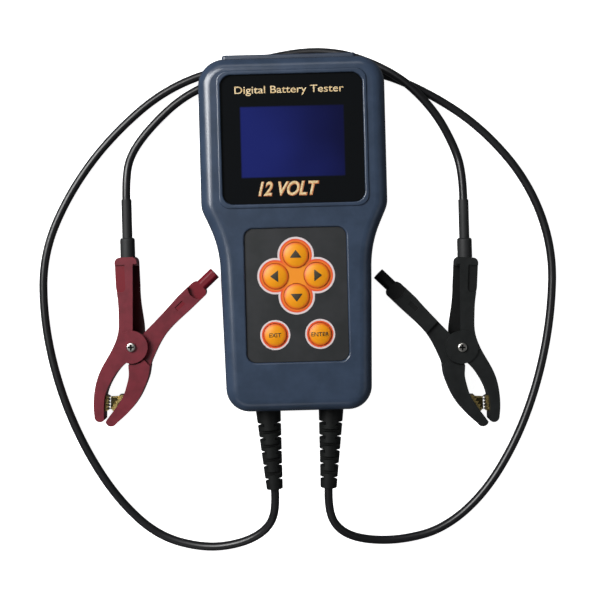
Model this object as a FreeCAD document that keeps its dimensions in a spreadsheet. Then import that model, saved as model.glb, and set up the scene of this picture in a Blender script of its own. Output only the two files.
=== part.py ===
"""Hand-held battery tester with two captive test leads, each ending in a spring clamp.

The tester lies on its back. The origin is the middle of the case's outline on the surface that
it lies on, +X is to the right of the display, +Y runs to the head and +Z out of the front.
All sizes are in millimetres and come from the sheet "sizes".
"""

import FreeCAD, Part

import math
import os

from FreeCAD import Placement, Rotation, Vector

UP = Vector(0, 0, 1)
TOUCH = 0.001

SIZES = [
    # the case
    ("case_length", 194.6, "case from end to end"),
    ("case_depth", 38.0, "case from back to front"),
    ("head_width", 102.8, "case across the display"),
    ("grip_width", 83.4, "case across the top of the grip"),
    ("grip_taper", 1.3, "slope of the grip's sides, in degrees"),
    ("head_corner", 15.0, "radius of the corners at the head"),
    ("foot_corner", 13.0, "radius of the corners at the foot"),
    ("shoulder_top", 18.0, "where the head starts to narrow"),
    ("shoulder_angle", 24.0, "slope of the shoulders, in degrees"),
    ("shoulder_crest", 14.0, "radius at the top of the shoulders"),
    ("shoulder_foot", 60.0, "radius where the shoulders meet the grip"),
    ("parting_height", 18.0, "joint between the two shells"),
    ("wall", 2.2, "side walls and back"),
    ("front_wall", 4.0, "front"),
    ("front_round", 7.0, "rounding of the front's outer edge"),
    ("back_round", 5.0, "rounding of the back's outer edge"),
    ("wedge_start", 56.0, "where the back starts to rise under the head"),
    ("wedge_rise", 15.0, "how far the back has risen at the head's end"),
    ("groove_width", 3.0, "finger grooves in the grip's left side, as round cuts"),
    ("groove_depth", 0.7, "finger grooves"),
    ("groove_count", 6.0, "finger grooves"),
    ("groove_pitch", 11.8, "finger grooves"),
    ("groove_first", -22.3, "finger groove nearest to the head"),
    ("post_width", 7.0, "screw posts"),
    ("head_post_x", 44.0, "case screws at the head"),
    ("head_post_y", 85.5, "case screws at the head"),
    ("foot_post_x", 32.0, "case screws at the foot"),
    ("foot_post_y", -86.0, "case screws at the foot"),
    ("screw_width", 2.9, "shank of the case screws"),
    ("screw_head", 5.4, "head of the case screws"),
    ("screw_sink", 3.0, "depth of the case screws' heads in the back"),
    ("head_screw_z", 11.0, "lowest point of the case screws at the head"),
    ("screw_bite", 10.0, "how far the case screws go into the front"),
    ("screw_head_height", 2.2, "head of the case screws"),
    # the display
    ("window_width", 77.5, "display window"),
    ("window_length", 70.5, "display window"),
    ("window_y", 52.25, "middle of the window"),
    ("window_corner", 6.0, "radius of the window's corners"),
    ("window_recess", 2.3, "depth of the window's seat"),
    ("window_thickness", 1.5, "display window"),
    ("rim_width", 2.2, "raised rim round the window"),
    ("rim_height", 0.8, "raised rim round the window"),
    ("rim_round", 0.7, "rounding of the rim's inner edge"),
    ("seat", 2.6, "ledge that carries the window or the panel"),
    ("fit_gap", 0.2, "clearance round the window and the panel"),
    ("view_width", 56.3, "picture area of the display"),
    ("view_length", 38.35, "picture area of the display"),
    ("view_y", 50.7, "middle of the picture area"),
    ("module_width", 78.0, "display module's board"),
    ("module_length", 70.0, "display module's board"),
    ("module_frame_width", 72.0, "display module's metal frame"),
    ("module_frame_length", 53.0, "display module's metal frame"),
    ("module_frame_height", 4.5, "display module's metal frame"),
    ("module_frame_sheet", 0.5, "display module's metal frame"),
    ("glass_width", 67.0, "display glass"),
    ("glass_length", 47.0, "display glass"),
    ("glass_thickness", 1.1, "display glass"),
    ("board_thickness", 1.6, "circuit boards"),
    ("module_drop", 10.5, "back of the display module's board, below the front"),
    # the keypad
    ("panel_width", 55.5, "keypad panel"),
    ("panel_length", 73.1, "keypad panel"),
    ("panel_y", -33.25, "middle of the keypad panel"),
    ("panel_corner", 5.0, "radius of the panel's corners"),
    ("panel_recess", 2.8, "depth of the panel's seat"),
    ("panel_round", 1.0, "rounding of the edge round the panel"),
    ("panel_thickness", 1.6, "keypad panel"),
    ("pad_y", -22.8, "middle of the four-way pad"),
    ("pad_reach", 11.3, "from the pad's middle to each of its keys"),
    ("pad_key_width", 13.8, "the pad's keys"),
    ("pair_x", 12.3, "the two single keys"),
    ("pair_y", -55.0, "the two single keys"),
    ("pair_key_width", 12.2, "the two single keys"),
    ("key_gap", 0.35, "clearance between a key and the panel"),
    ("key_flange", 0.85, "flange that keeps a key behind the panel"),
    ("flange_thickness", 1.1, "flange of a key"),
    ("key_edge", 0.6, "height of a key's side above the panel"),
    ("key_dome", 1.1, "height of a key's dome above its side"),
    ("key_stem_width", 3.4, "stem of a key"),
    ("key_stem", 2.2, "length of a key's stem"),
    ("key_travel", 0.8, "how far a key goes in"),
    ("switch_width", 6.0, "push switches"),
    ("switch_height", 3.5, "push switches, without the plunger"),
    # the electronics
    ("board_width", 72.0, "main board"),
    ("board_length", 168.0, "main board"),
    ("board_y", 2.0, "middle of the main board"),
    ("board_drop", 16.0, "back of the main board, below the front"),
    ("board_post_x", 31.5, "main board's screws"),
    ("board_post_foot", -68.0, "main board's screws near the foot"),
    ("board_post_head", 4.0, "main board's screws near the head"),
    ("board_post_width", 6.0, "main board's posts"),
    ("board_screw_width", 2.5, "main board's screws"),
    ("chip_width", 14.0, "controller chip"),
    ("chip_thickness", 1.4, "controller chip"),
    ("resistor_length", 22.0, "load resistors"),
    ("resistor_width", 6.4, "load resistors"),
    ("relay_length", 19.0, "load relay"),
    ("relay_width", 15.3, "load relay"),
    ("relay_height", 14.5, "load relay"),
    ("sounder_width", 12.0, "sounder"),
    ("sounder_height", 8.5, "sounder"),
    ("terminal_width", 9.0, "lead terminals"),
    ("terminal_height", 8.0, "lead terminals"),
    ("terminal_y", -76.0, "lead terminals"),
    # the port in the top end
    ("port_width", 74.0, "cover over the port in the top end"),
    ("port_height", 12.0, "cover over the port in the top end"),
    ("port_z", 26.0, "middle of the port cover"),
    ("port_x", -1.0, "middle of the port cover"),
    ("port_proud", 2.2, "how far the port cover stands out"),
    ("port_round", 2.0, "rounding of the port cover's corners"),
    ("port_edge", 1.2, "rounding of the port cover's outer edge"),
    ("port_plug_width", 60.0, "plug of the port cover"),
    ("port_plug_height", 7.0, "plug of the port cover"),
    ("port_plug_depth", 4.0, "plug of the port cover, through the wall"),
    # the strain reliefs
    ("relief_x", 17.8, "strain reliefs, from the middle"),
    ("relief_drop", 21.0, "strain reliefs, below the front"),
    ("relief_length", 46.0, "strain reliefs"),
    ("relief_root", 14.2, "strain relief at the case"),
    ("relief_tip", 9.2, "strain relief at its tip"),
    ("relief_core", 5.4, "uncut core of the strain relief"),
    ("relief_neck", 10.0, "neck of the strain relief in the wall"),
    ("relief_flange", 2.0, "thickness of the flange inside the wall"),
    ("relief_lean", 3.2, "lean towards the middle, in degrees"),
    ("relief_droop", 2.0, "droop of the strain relief, in degrees"),
    ("slot_count", 5.0, "slots along each side of a strain relief"),
    ("slot_pitch", 7.9, "from slot to slot"),
    ("slot_width", 1.9, "slots of the strain relief"),
    ("slot_first", 9.0, "from the case to the first slot"),
    # the leads
    ("lead_straight", 13.0, "straight run of a lead at each of its ends"),
    ("lead_width", 4.7, "test leads"),
    # the clamps
    ("clamp_depth", 13.0, "clamps from back to front"),
    ("clamp_plate", 2.2, "front and back plates of a clamp's arm"),
    ("clamp_ear", 2.0, "ears of a clamp's lever"),
    ("clamp_clearance", 0.4, "between the arm and the lever"),
    ("thumb_depth", 1.0, "thumb rest in the arm's handle"),
    ("hub_width", 18.6, "round boss at a clamp's pivot"),
    ("hub_ear_width", 14.0, "lever's ears at the pivot"),
    ("hub_raise", 0.8, "how far the boss stands up"),
    ("pivot_width", 4.0, "shank of the pivot screw"),
    ("pivot_head", 5.4, "head of the pivot screw"),
    ("pivot_head_height", 1.5, "head of the pivot screw"),
    ("pivot_gap", 0.05, "running clearance round the pivot"),
    ("spring_coil", 6.4, "middle of the torsion spring's coil"),
    ("spring_wire", 1.0, "torsion spring's wire"),
    ("spring_turns", 2.0, "whole turns of the torsion spring"),
    ("spring_leg", 20.0, "legs of the torsion spring"),
    ("spring_gap", 0.05, "end of the spring's coil to the leg that turns with the lever"),
    ("handle_length", 51.0, "from the pivot to the end of the arm"),
    ("lever_length", 52.6, "from the pivot to the end of the lever"),
    ("lever_angle", 49.0, "between the two handles, in degrees"),
    ("lever_shoulder", 20.0, "where the lever reaches its full depth"),
    ("mouth_start", 44.5, "where the lever's front is cut away for the stub"),
    ("mouth_depth", 2.8, "cut in the lever's front over the stub"),
    ("patch_depth", 0.6, "small mark in the lever's front"),
    ("stub_width", 7.0, "round stub at the lever's end"),
    ("stub_length", 10.2, "round stub at the lever's end"),
    ("tooth_plate", 0.8, "plate behind a clamp's teeth"),
    ("tooth_height", 1.5, "a clamp's teeth"),
    ("tooth_count", 5.0, "teeth on each contact"),
    ("tooth_depth", 7.0, "width of the toothed contacts"),
    ("tongue_thickness", 0.8, "plate between a clamp's jaws"),
    ("tongue_lip", 1.6, "turned-up edge of the plate between the jaws"),
    ("sleeve_thick", 8.4, "sleeve at the clamp"),
    ("sleeve_thick_length", 11.0, "sleeve at the clamp"),
    ("sleeve_thin", 5.8, "sleeve on the lead"),
    ("sleeve_length", 33.0, "sleeve from end to end"),
    ("sleeve_gap", 0.03, "between the sleeve and the clamp's arm"),
]

# where each clamp lies: its pivot, which way round it is (+1 red, -1 black) and its turn in degrees
CLAMPS = {
    "red": (Vector(-94.5, -61.7, 0), 1, 1.4),
    "black": (Vector(93.0, -66.6, 0), -1, -3.9),
}

# The leads' routes, chosen by hand. Each starts at the tip of its strain relief, goes down to the
# surface, round its own side of the case and under the head, and ends in a clamp's sleeve. The
# left lead goes over the right one beside the head, so it has two points at the top of its hump.
LEAD_ROUTES = {
    "lead_left": [
        (-21.0, -168.5, 11.4), (-36.5, -176.5, 7.4),
        (-58.0, -179.0, 3.8), (-84.0, -171.5, 2.35), (-106.5, -149.5, 2.35),
        (-125.0, -119.0, 2.35), (-138.6, -84.0, 2.35), (-146.0, -46.0, 2.35),
        (-145.5, -8.5, 2.35), (-130.4, 25.6, 2.35), (-105.6, 58.2, 2.35),
        (-70.0, 87.6, 2.35), (-26.0, 99.5, 2.35), (21.0, 107.0, 2.35),
        (58.5, 91.5, 9.1), (80.5, 70.0, 9.1), (93.4, 46.5, 5.0),
    ],
    "lead_right": [
        (20.0, -168.5, 11.4), (33.0, -175.5, 7.4),
        (56.0, -177.5, 3.8), (81.0, -172.0, 2.35), (104.5, -153.0, 2.35),
        (124.0, -123.0, 2.35), (137.8, -88.5, 2.35), (146.3, -50.0, 2.35),
        (148.2, -11.0, 2.35), (135.0, 27.0, 2.35), (109.0, 58.5, 2.35),
        (79.0, 79.5, 2.35), (47.0, 93.5, 2.35), (6.0, 96.5, 2.35),
        (-36.0, 91.8, 2.35), (-61.5, 81.6, 2.35), (-80.5, 65.0, 2.35),
        (-93.0, 49.0, 3.6),
    ],
}
LEAD_ENDS = {"lead_left": (-1, "black"), "lead_right": (1, "red")}
ARC_SHARE = 0.45

doc = FreeCAD.newDocument("battery_tester")
sheet = doc.addObject("Spreadsheet::Sheet", "sizes")
for row, (alias, number, note) in enumerate(SIZES, 1):
    sheet.set(f"A{row}", note)
    sheet.set(f"B{row}", str(number))
    sheet.setAlias(f"B{row}", alias)
doc.recompute()


def value(alias):
    """The number that a name on the sheet stands for now."""
    return float(sheet.get(alias))


def bound(expression):
    """The expression with each name of the sheet written as sizes.name."""
    words = str(expression).replace("(", " ( ").replace(")", " ) ").split()
    names = {alias for alias, _, _ in SIZES}
    return " ".join(f"sizes.{word}" if word in names else word for word in words)


def bind(piece, settings):
    """Binds each property of a piece to an expression on the sheet."""
    for key, expression in settings.items():
        piece.setExpression(key, bound(expression))


def place(piece, at):
    """Binds a piece's position to three expressions."""
    bind(piece, {f"Placement.Base.{axis}": e for axis, e in zip("xyz", at)})


def box(name, size, middle, bottom):
    """An upright box: its width, length and height, the middle of its plan and its bottom."""
    piece = doc.addObject("Part::Box", name)
    bind(piece, dict(zip(("Length", "Width", "Height"), size)))
    place(piece, (f"{middle[0]} - ( {size[0]} ) / 2", f"{middle[1]} - ( {size[1]} ) / 2", bottom))
    return piece


def cylinder(name, width, height, middle, bottom):
    """An upright cylinder: its diameter and height, the middle of its plan and its bottom."""
    piece = doc.addObject("Part::Cylinder", name)
    bind(piece, {"Radius": f"( {width} ) / 2", "Height": height})
    place(piece, (*middle, bottom))
    return piece


def cylinder_along_y(name, width, length, foot):
    """A cylinder that lies along Y and starts at foot."""
    piece = doc.addObject("Part::Cylinder", name)
    bind(piece, {"Radius": f"( {width} ) / 2", "Height": length})
    piece.Placement.Rotation = Rotation(Vector(1, 0, 0), -90)
    place(piece, foot)
    return piece


def join(name, pieces):
    """One solid of several that meet."""
    fused = doc.addObject("Part::MultiFuse", name)
    fused.Shapes = pieces
    fused.Refine = True
    return fused


def group(name, pieces):
    """Several separate solids of one kind, as one node."""
    compound = doc.addObject("Part::Compound", name)
    compound.Links = pieces
    return compound


def cut(name, base, tools):
    """The base without the tools."""
    tool = tools[0] if len(tools) == 1 else group(f"{name}_tools", tools)
    result = doc.addObject("Part::Cut", name)
    result.Base = base
    result.Tool = tool
    return result


def rounded(name, base, radius, wanted):
    """The base with a fillet on each edge that wanted(edge) picks."""
    doc.recompute()
    picked = [i for i, edge in enumerate(base.Shape.Edges, 1) if wanted(edge)]
    if not picked:
        raise RuntimeError(f"{name}: no edge to round")
    fillet = doc.addObject("Part::Fillet", name)
    fillet.Base = base
    fillet.Edges = [(i, value(radius), value(radius)) for i in picked]
    return fillet


def upright(edge):
    """Whether an edge is straight and runs along Z."""
    box_of_edge = edge.BoundBox
    return box_of_edge.XLength < TOUCH and box_of_edge.YLength < TOUCH


def level_at(height):
    """A test for edges that lie in the level plane at a height."""
    def test(edge):
        limits = edge.BoundBox
        return abs(limits.ZMin - height) < TOUCH and abs(limits.ZMax - height) < TOUCH
    return test


def inside_of(seat, test):
    """The same test for an edge, kept to the outline of the window's or the panel's seat."""
    half_x, half_y = [value(f"{seat}_{side}") / 2 + 2 * value("fit_gap")
                      for side in ("width", "length")]
    middle = value(f"{seat}_y")

    def kept(edge):
        centre = edge.CenterOfMass
        return test(edge) and abs(centre.x) < half_x and abs(centre.y - middle) < half_y
    return kept


def rounded_box(name, size, middle, bottom, corner):
    """A box whose four upright edges are rounded."""
    return rounded(name, box(f"{name}_block", size, middle, bottom), corner, upright)


def extrude(name, edges, bottom, height):
    """A closed outline of lines, arcs and splines, drawn in a sketch and extruded upwards."""
    sketch = doc.addObject("Sketcher::SketchObject", f"{name}_outline")
    sketch.addGeometry(edges, False)
    place(sketch, ("0", "0", bottom))
    solid = doc.addObject("Part::Extrusion", name)
    solid.Base = sketch
    solid.DirMode = "Custom"
    solid.Dir = UP
    solid.Solid = True
    bind(solid, {"LengthFwd": height})
    return solid


def segments(points):
    """The straight edges of a closed polygon."""
    closed = points + points[:1]
    return [Part.LineSegment(a, b) for a, b in zip(closed, closed[1:])]


def arc(centre, radius, start, end):
    """A circle's arc, anticlockwise between two angles in degrees."""
    circle = Part.Circle(centre, UP, radius)
    return Part.ArcOfCircle(circle, math.radians(start), math.radians(end))


def shoulder():
    """The shoulder's slope, and the height of its lower arc's centre: an arc, a slope, an arc."""
    angle = math.radians(value("shoulder_angle"))
    arcs = value("shoulder_crest") + value("shoulder_foot")
    narrowing = (value("head_width") - value("grip_width")) / 2 - arcs * (1 - math.cos(angle))
    return angle, value("shoulder_top") - arcs * math.sin(angle) - narrowing / math.tan(angle)


def grip_start(inset):
    """The top of the grip's straight side, on the outline moved inwards by inset."""
    lean = math.radians(value("grip_taper"))
    foot = value("shoulder_foot")
    reach = foot + inset
    x = value("grip_width") / 2 + foot - math.cos(lean) * reach
    return x, shoulder()[1] + math.sin(lean) * reach


def case_outline(inset):
    """The case's outline, moved inwards by inset: two sides that narrow from head to grip."""
    top = value("case_length") / 2
    head = value("head_width") / 2
    grip = value("grip_width") / 2
    head_corner = value("head_corner")
    foot_corner = value("foot_corner")
    crest = value("shoulder_crest")
    foot = value("shoulder_foot")
    crest_y = value("shoulder_top")
    slope = value("shoulder_angle")
    taper = value("grip_taper")
    angle, foot_y = shoulder()
    out_x, out_y = math.cos(angle), -math.sin(angle)
    slope_top = (head - crest + out_x * (crest - inset), crest_y + out_y * (crest - inset))
    slope_end = (grip + foot - out_x * (foot + inset), foot_y - out_y * (foot + inset))

    # the grip's side narrows a little down to the foot's corner
    lean = math.radians(taper)
    side_x, side_y = grip_start(0.0)
    corner_y = foot_corner - top
    corner_x = side_x - (side_y - corner_y) * math.tan(lean) - foot_corner / math.cos(lean)
    round_in = foot_corner - inset
    corner_end = (corner_x + math.cos(lean) * round_in, corner_y - math.sin(lean) * round_in)

    edges = []
    for side in (1, -1):
        def line(start, end):
            edges.append(Part.LineSegment(
                Vector(side * start[0], start[1], 0), Vector(side * end[0], end[1], 0)
            ))

        def bend(x, y, radius, start, end):
            if side < 0:
                start, end = 180 - end, 180 - start
            edges.append(arc(Vector(side * x, y, 0), radius, start, end))

        line((0, inset - top), (corner_x, inset - top))
        bend(corner_x, corner_y, round_in, 270, 360 - taper)
        line(corner_end, grip_start(inset))
        bend(grip + foot, foot_y, foot + inset, 180 - slope, 180 - taper)
        line(slope_end, slope_top)
        bend(head - crest, crest_y, crest - inset, 360 - slope, 360)
        line((head - inset, crest_y), (head - inset, top - head_corner))
        bend(head - head_corner, top - head_corner, head_corner - inset, 0, 90)
        line((head - head_corner, top - inset), (0, top - inset))
    return edges


def finger_grooves(name):
    """Upright round cutters along the grip's left side, each a little way into the wall."""
    radius = value("groove_width") / 2
    x, y = grip_start(0.0)
    lean = math.radians(value("grip_taper"))
    pitch = value("groove_pitch")
    cutters = []
    for i in range(int(value("groove_count"))):
        level = value("groove_first") - i * pitch
        out = x - (y - level) * math.tan(lean) + radius - value("groove_depth")
        foot = Vector(-out, level, -radius)
        cutters.append(Part.makeCylinder(radius, value("parting_height") + radius, foot))
    piece = doc.addObject("Part::Feature", name)
    piece.Shape = Part.makeCompound(cutters)
    return piece


def wedge(name, lift):
    """The space under the raised back of the head, moved up by lift."""
    wide = value("head_width")
    start = value("wedge_start")
    end = value("case_length") / 2
    rise = value("wedge_rise")
    past = 5.0
    slope = rise / (end - start)
    low = Vector(-wide, start - lift / slope, 0)
    corners = [
        low,
        Vector(-wide, end + past, 0),
        Vector(-wide, end + past, rise + slope * past + lift),
    ]
    piece = doc.addObject("Part::Feature", name)
    piece.Shape = Part.Face(Part.makePolygon(corners + [low])).extrude(Vector(2 * wide, 0, 0))
    return piece


def case_posts(name, width, height, bottom):
    """Four upright cylinders where the case screws go."""
    places = [(f"{side} * {end}_post_x", f"{end}_post_y")
              for end in ("head", "foot") for side in (-1, 1)]
    return [cylinder(f"{name}_{i}", width, height, at, bottom) for i, at in enumerate(places, 1)]


def board_posts(name, width, height, bottom):
    """Four upright cylinders where the main board's screws go."""
    places = [(f"{side} * board_post_x", f"board_post_{end}")
              for end in ("foot", "head") for side in (-1, 1)]
    return [cylinder(f"{name}_{i}", width, height, at, bottom) for i, at in enumerate(places, 1)]


def lead_holes(name):
    """The round holes in the foot's end wall that hold the strain reliefs' necks."""
    past = 1.0
    return [
        cylinder_along_y(
            f"{name}_{side_name}", "relief_neck", f"wall + {2 * past}",
            (f"{side} * relief_x", f"-1 * case_length / 2 - {past}", "( case_depth - relief_drop )"),
        )
        for side_name, side in (("left", -1), ("right", 1))
    ]


def port_hole(name):
    """The opening in the head's end wall for the port cover's plug."""
    past = 1.0
    return box(
        name, ("port_plug_width", f"wall + {2 * past}", "port_plug_height"),
        ("port_x", "case_length / 2 - wall / 2"), "port_z - port_plug_height / 2",
    )


def make_front_shell():
    """The front half: a shell with seats for the window and the panel, and screw posts."""
    height = "case_depth - parting_height"
    block = extrude("front_block", case_outline(0.0), "parting_height", height)
    top_edge = level_at(value("case_depth"))
    outside = rounded("front_outside", block, "front_round", top_edge)
    rim_edge = level_at(value("case_depth") + value("rim_height"))
    rim = rounded(
        "window_rim",
        rounded_box(
            "window_rim_blank", ("window_width + 2 * fit_gap + 2 * rim_width",
                                 "window_length + 2 * fit_gap + 2 * rim_width", "rim_height + 1"),
            ("0", "window_y"), "case_depth - 1", "window_corner",
        ),
        "rim_height", rim_edge,
    )
    outside = join("front_with_rim", [outside, rim])
    hollow = extrude(
        "front_hollow", case_outline(value("wall")), "parting_height", f"{height} - front_wall"
    )
    window_at = ("0", "window_y")
    panel_at = ("0", "panel_y")
    cuts = [
        hollow,
        rounded_box(
            "window_seat", ("window_width + 2 * fit_gap", "window_length + 2 * fit_gap",
                            "window_recess + rim_height + 1"),
            window_at, "case_depth - window_recess", "window_corner",
        ),
        box("window_way", ("window_width - 2 * seat", "window_length - 2 * seat", "front_wall"),
            window_at, "case_depth - front_wall"),
        rounded_box(
            "panel_seat", ("panel_width + 2 * fit_gap", "panel_length + 2 * fit_gap",
                           "panel_recess"),
            panel_at, "case_depth - panel_recess", "panel_corner",
        ),
        box("panel_way", ("panel_width - 2 * seat", "panel_length - 2 * seat", "front_wall"),
            panel_at, "case_depth - front_wall"),
    ]
    shell = cut("front_hollowed", outside, cuts)
    shell = rounded("front_soft_panel", shell, "panel_round", inside_of("panel", top_edge))
    shell = rounded("front_soft_rim", shell, "rim_round", inside_of("window", rim_edge))
    inside = "case_depth - front_wall"
    posts = case_posts("front_post", "post_width", f"{inside} - parting_height", "parting_height")
    posts += board_posts(
        "board_post", "board_post_width", f"{inside} - ( case_depth - board_drop ) - board_thickness",
        "( case_depth - board_drop ) + board_thickness",
    )
    solid = join("front_with_posts", [shell] + posts)
    deep = 12.0
    holes = case_posts("front_screw_hole", "screw_width", str(deep), "parting_height")
    holes += board_posts("board_screw_hole", "board_screw_width", str(deep / 2),
                         "( case_depth - board_drop ) + board_thickness")
    return cut("front_shell", solid, holes + lead_holes("front_lead_hole")
               + [port_hole("front_port_hole")])


def make_rear_shell():
    """The back half: a tray whose floor rises under the head."""
    block = extrude("rear_block", case_outline(0.0), "0", "parting_height")
    outside = rounded("rear_outside", block, "back_round", level_at(0.0))
    outer = cut("rear_outer", outside, [wedge("head_wedge", 0.0)])
    floor = math.hypot(1, value("wedge_rise") / (value("case_length") / 2 - value("wedge_start")))
    hollow = extrude("rear_hollow", case_outline(value("wall")), "wall", "parting_height")
    inner = cut("rear_inner", hollow, [wedge("floor_wedge", value("wall") * floor)])
    tray = cut("rear_tray", outer, [inner])
    posts = cut(
        "rear_posts",
        group("rear_post_blanks", case_posts("rear_post", "post_width", "parting_height", "0")),
        [wedge("post_wedge", 0.0)],
    )
    gripped = cut("rear_gripped", tray, [finger_grooves("finger_grooves")])
    solid = join("rear_with_posts", [gripped, posts])
    past = 1.0
    holes = case_posts("rear_screw_hole", "screw_width", f"parting_height + {2 * past}", f"-{past}")
    holes += [
        cylinder(f"rear_head_hole_{side_name}", "screw_head", f"screw_sink + {past}",
                 (f"{side} * foot_post_x", "foot_post_y"), f"-{past}")
        for side_name, side in (("left", -1), ("right", 1))
    ]
    holes += [
        cylinder(f"rear_deep_hole_{side_name}", "screw_head", f"head_screw_z + screw_sink + {past}",
                 (f"{side} * head_post_x", "head_post_y"), f"-{past}")
        for side_name, side in (("left", -1), ("right", 1))
    ]
    return cut("rear_shell", solid, holes + lead_holes("rear_lead_hole"))


def plane_of(body, role):
    """One of a body's own origin planes or axes, found by its role."""
    return next(feature for feature in body.Origin.OriginFeatures if feature.Role == role)


def turned(label, profile, axis="Z_Axis", plane="XZ_Plane"):
    """A body turned about an axis: profile holds a half section as lines and arcs."""
    body = doc.addObject("PartDesign::Body", label)
    sketch = body.newObject("Sketcher::SketchObject", f"{label}_section")
    sketch.AttachmentSupport = [(plane_of(body, plane), "")]
    sketch.MapMode = "FlatFace"
    sketch.addGeometry(profile, False)
    turn = body.newObject("PartDesign::Revolution", f"{label}_turned")
    turn.Profile = sketch
    turn.ReferenceAxis = (plane_of(body, axis), [""])
    turn.Angle = 360
    body.Tip = turn
    return body


def make_display():
    """The window, and the display module behind it: board, frame, light guide and glass."""
    window = rounded_box(
        "display_window", ("window_width", "window_length", "window_thickness"),
        ("0", "window_y"), "case_depth - window_recess", "window_corner",
    )
    view = ("0", "view_y")
    board_top = "( case_depth - module_drop ) + board_thickness"
    board = box("lcd_board", ("module_width", "module_length", "board_thickness"), view,
                "( case_depth - module_drop )")
    skin = "module_frame_sheet"
    frame = cut(
        "lcd_frame",
        box("frame_block", ("module_frame_width", "module_frame_length", "module_frame_height"),
            view, board_top),
        [
            box("frame_inside", (f"module_frame_width - 2 * {skin}",
                                 f"module_frame_length - 2 * {skin}",
                                 f"module_frame_height - {skin}"), view, board_top),
            box("frame_opening", ("view_width + 2", "view_length + 2", "module_frame_height + 1"),
                view, board_top),
        ],
    )
    guide = box("lcd_backlight", ("glass_width", "glass_length",
                                  f"module_frame_height - {skin} - glass_thickness"),
                view, board_top)
    glass = box("lcd_glass", ("glass_width", "glass_length", "glass_thickness"), view,
                f"{board_top} + module_frame_height - {skin} - glass_thickness")
    return [window, board, frame, guide, glass]


KEYS = {
    "key_up": ("0", "pad_y + pad_reach", "pad_key_width"),
    "key_down": ("0", "pad_y - pad_reach", "pad_key_width"),
    "key_left": ("-1 * pad_reach", "pad_y", "pad_key_width"),
    "key_right": ("pad_reach", "pad_y", "pad_key_width"),
    "key_exit": ("-1 * pair_x", "pair_y", "pair_key_width"),
    "key_enter": ("pair_x", "pair_y", "pair_key_width"),
}
PANEL_BOTTOM = "case_depth - panel_recess"
PLAY = 0.1


def make_key(label, x, y, width):
    """A key: a stem, a flange behind the panel, a round side and a shallow dome."""
    radius = value(width) / 2
    stem = value("key_stem_width") / 2
    flange = radius + value("key_flange")
    stem_end = 0.0
    flange_back = stem_end + value("key_stem")
    flange_front = flange_back + value("flange_thickness")
    side_top = flange_front + PLAY + value("panel_thickness") + value("key_edge")
    crown = side_top + value("key_dome")
    rim = Vector(radius, 0, side_top)
    dome_radius = (radius ** 2 + value("key_dome") ** 2) / (2 * value("key_dome"))
    half = math.asin(radius / dome_radius) / 2
    middle = Vector(dome_radius * math.sin(half), 0,
                    crown - dome_radius * (1 - math.cos(half)))
    corners = [
        Vector(0, 0, crown), Vector(0, 0, stem_end), Vector(stem, 0, stem_end),
        Vector(stem, 0, flange_back), Vector(flange, 0, flange_back),
        Vector(flange, 0, flange_front), Vector(radius, 0, flange_front), rim,
    ]
    # a section drawn in the XZ plane has its own X and Y
    flat = [Vector(point.x, point.z, 0) for point in corners]
    edges = [Part.LineSegment(a, b) for a, b in zip(flat, flat[1:])]
    edges.append(Part.Arc(flat[-1], Vector(middle.x, middle.z, 0), flat[0]))
    key = turned(label, edges)
    place(key, (x, y, f"{PANEL_BOTTOM} - {PLAY} - flange_thickness - key_stem"))
    return key


def make_keypad():
    """The panel, its six keys, and the switches on the main board under them."""
    holes = [
        cylinder(f"{label}_hole", f"{width} + 2 * key_gap", "panel_thickness + 2", (x, y),
                 f"{PANEL_BOTTOM} - 1")
        for label, (x, y, width) in KEYS.items()
    ]
    blank = rounded_box(
        "panel_blank", ("panel_width", "panel_length", "panel_thickness"), ("0", "panel_y"),
        PANEL_BOTTOM, "panel_corner",
    )
    panel = cut("keypad_panel", blank, holes)
    board_top = "( case_depth - board_drop ) + board_thickness"
    stem_end = f"{PANEL_BOTTOM} - {PLAY} - flange_thickness - key_stem"
    switches = []
    for label, (x, y, _) in KEYS.items():
        switches.append(join(f"{label}_switch", [
            box(f"{label}_switch_body", ("switch_width", "switch_width", "switch_height"),
                (x, y), board_top),
            cylinder(f"{label}_plunger", "key_stem_width",
                     f"{stem_end} - key_travel - {PLAY} - ( {board_top} )", (x, y), board_top),
        ]))
    keys = [make_key(label, *where) for label, where in KEYS.items()]
    return [panel, group("key_switches", switches)] + keys


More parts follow.
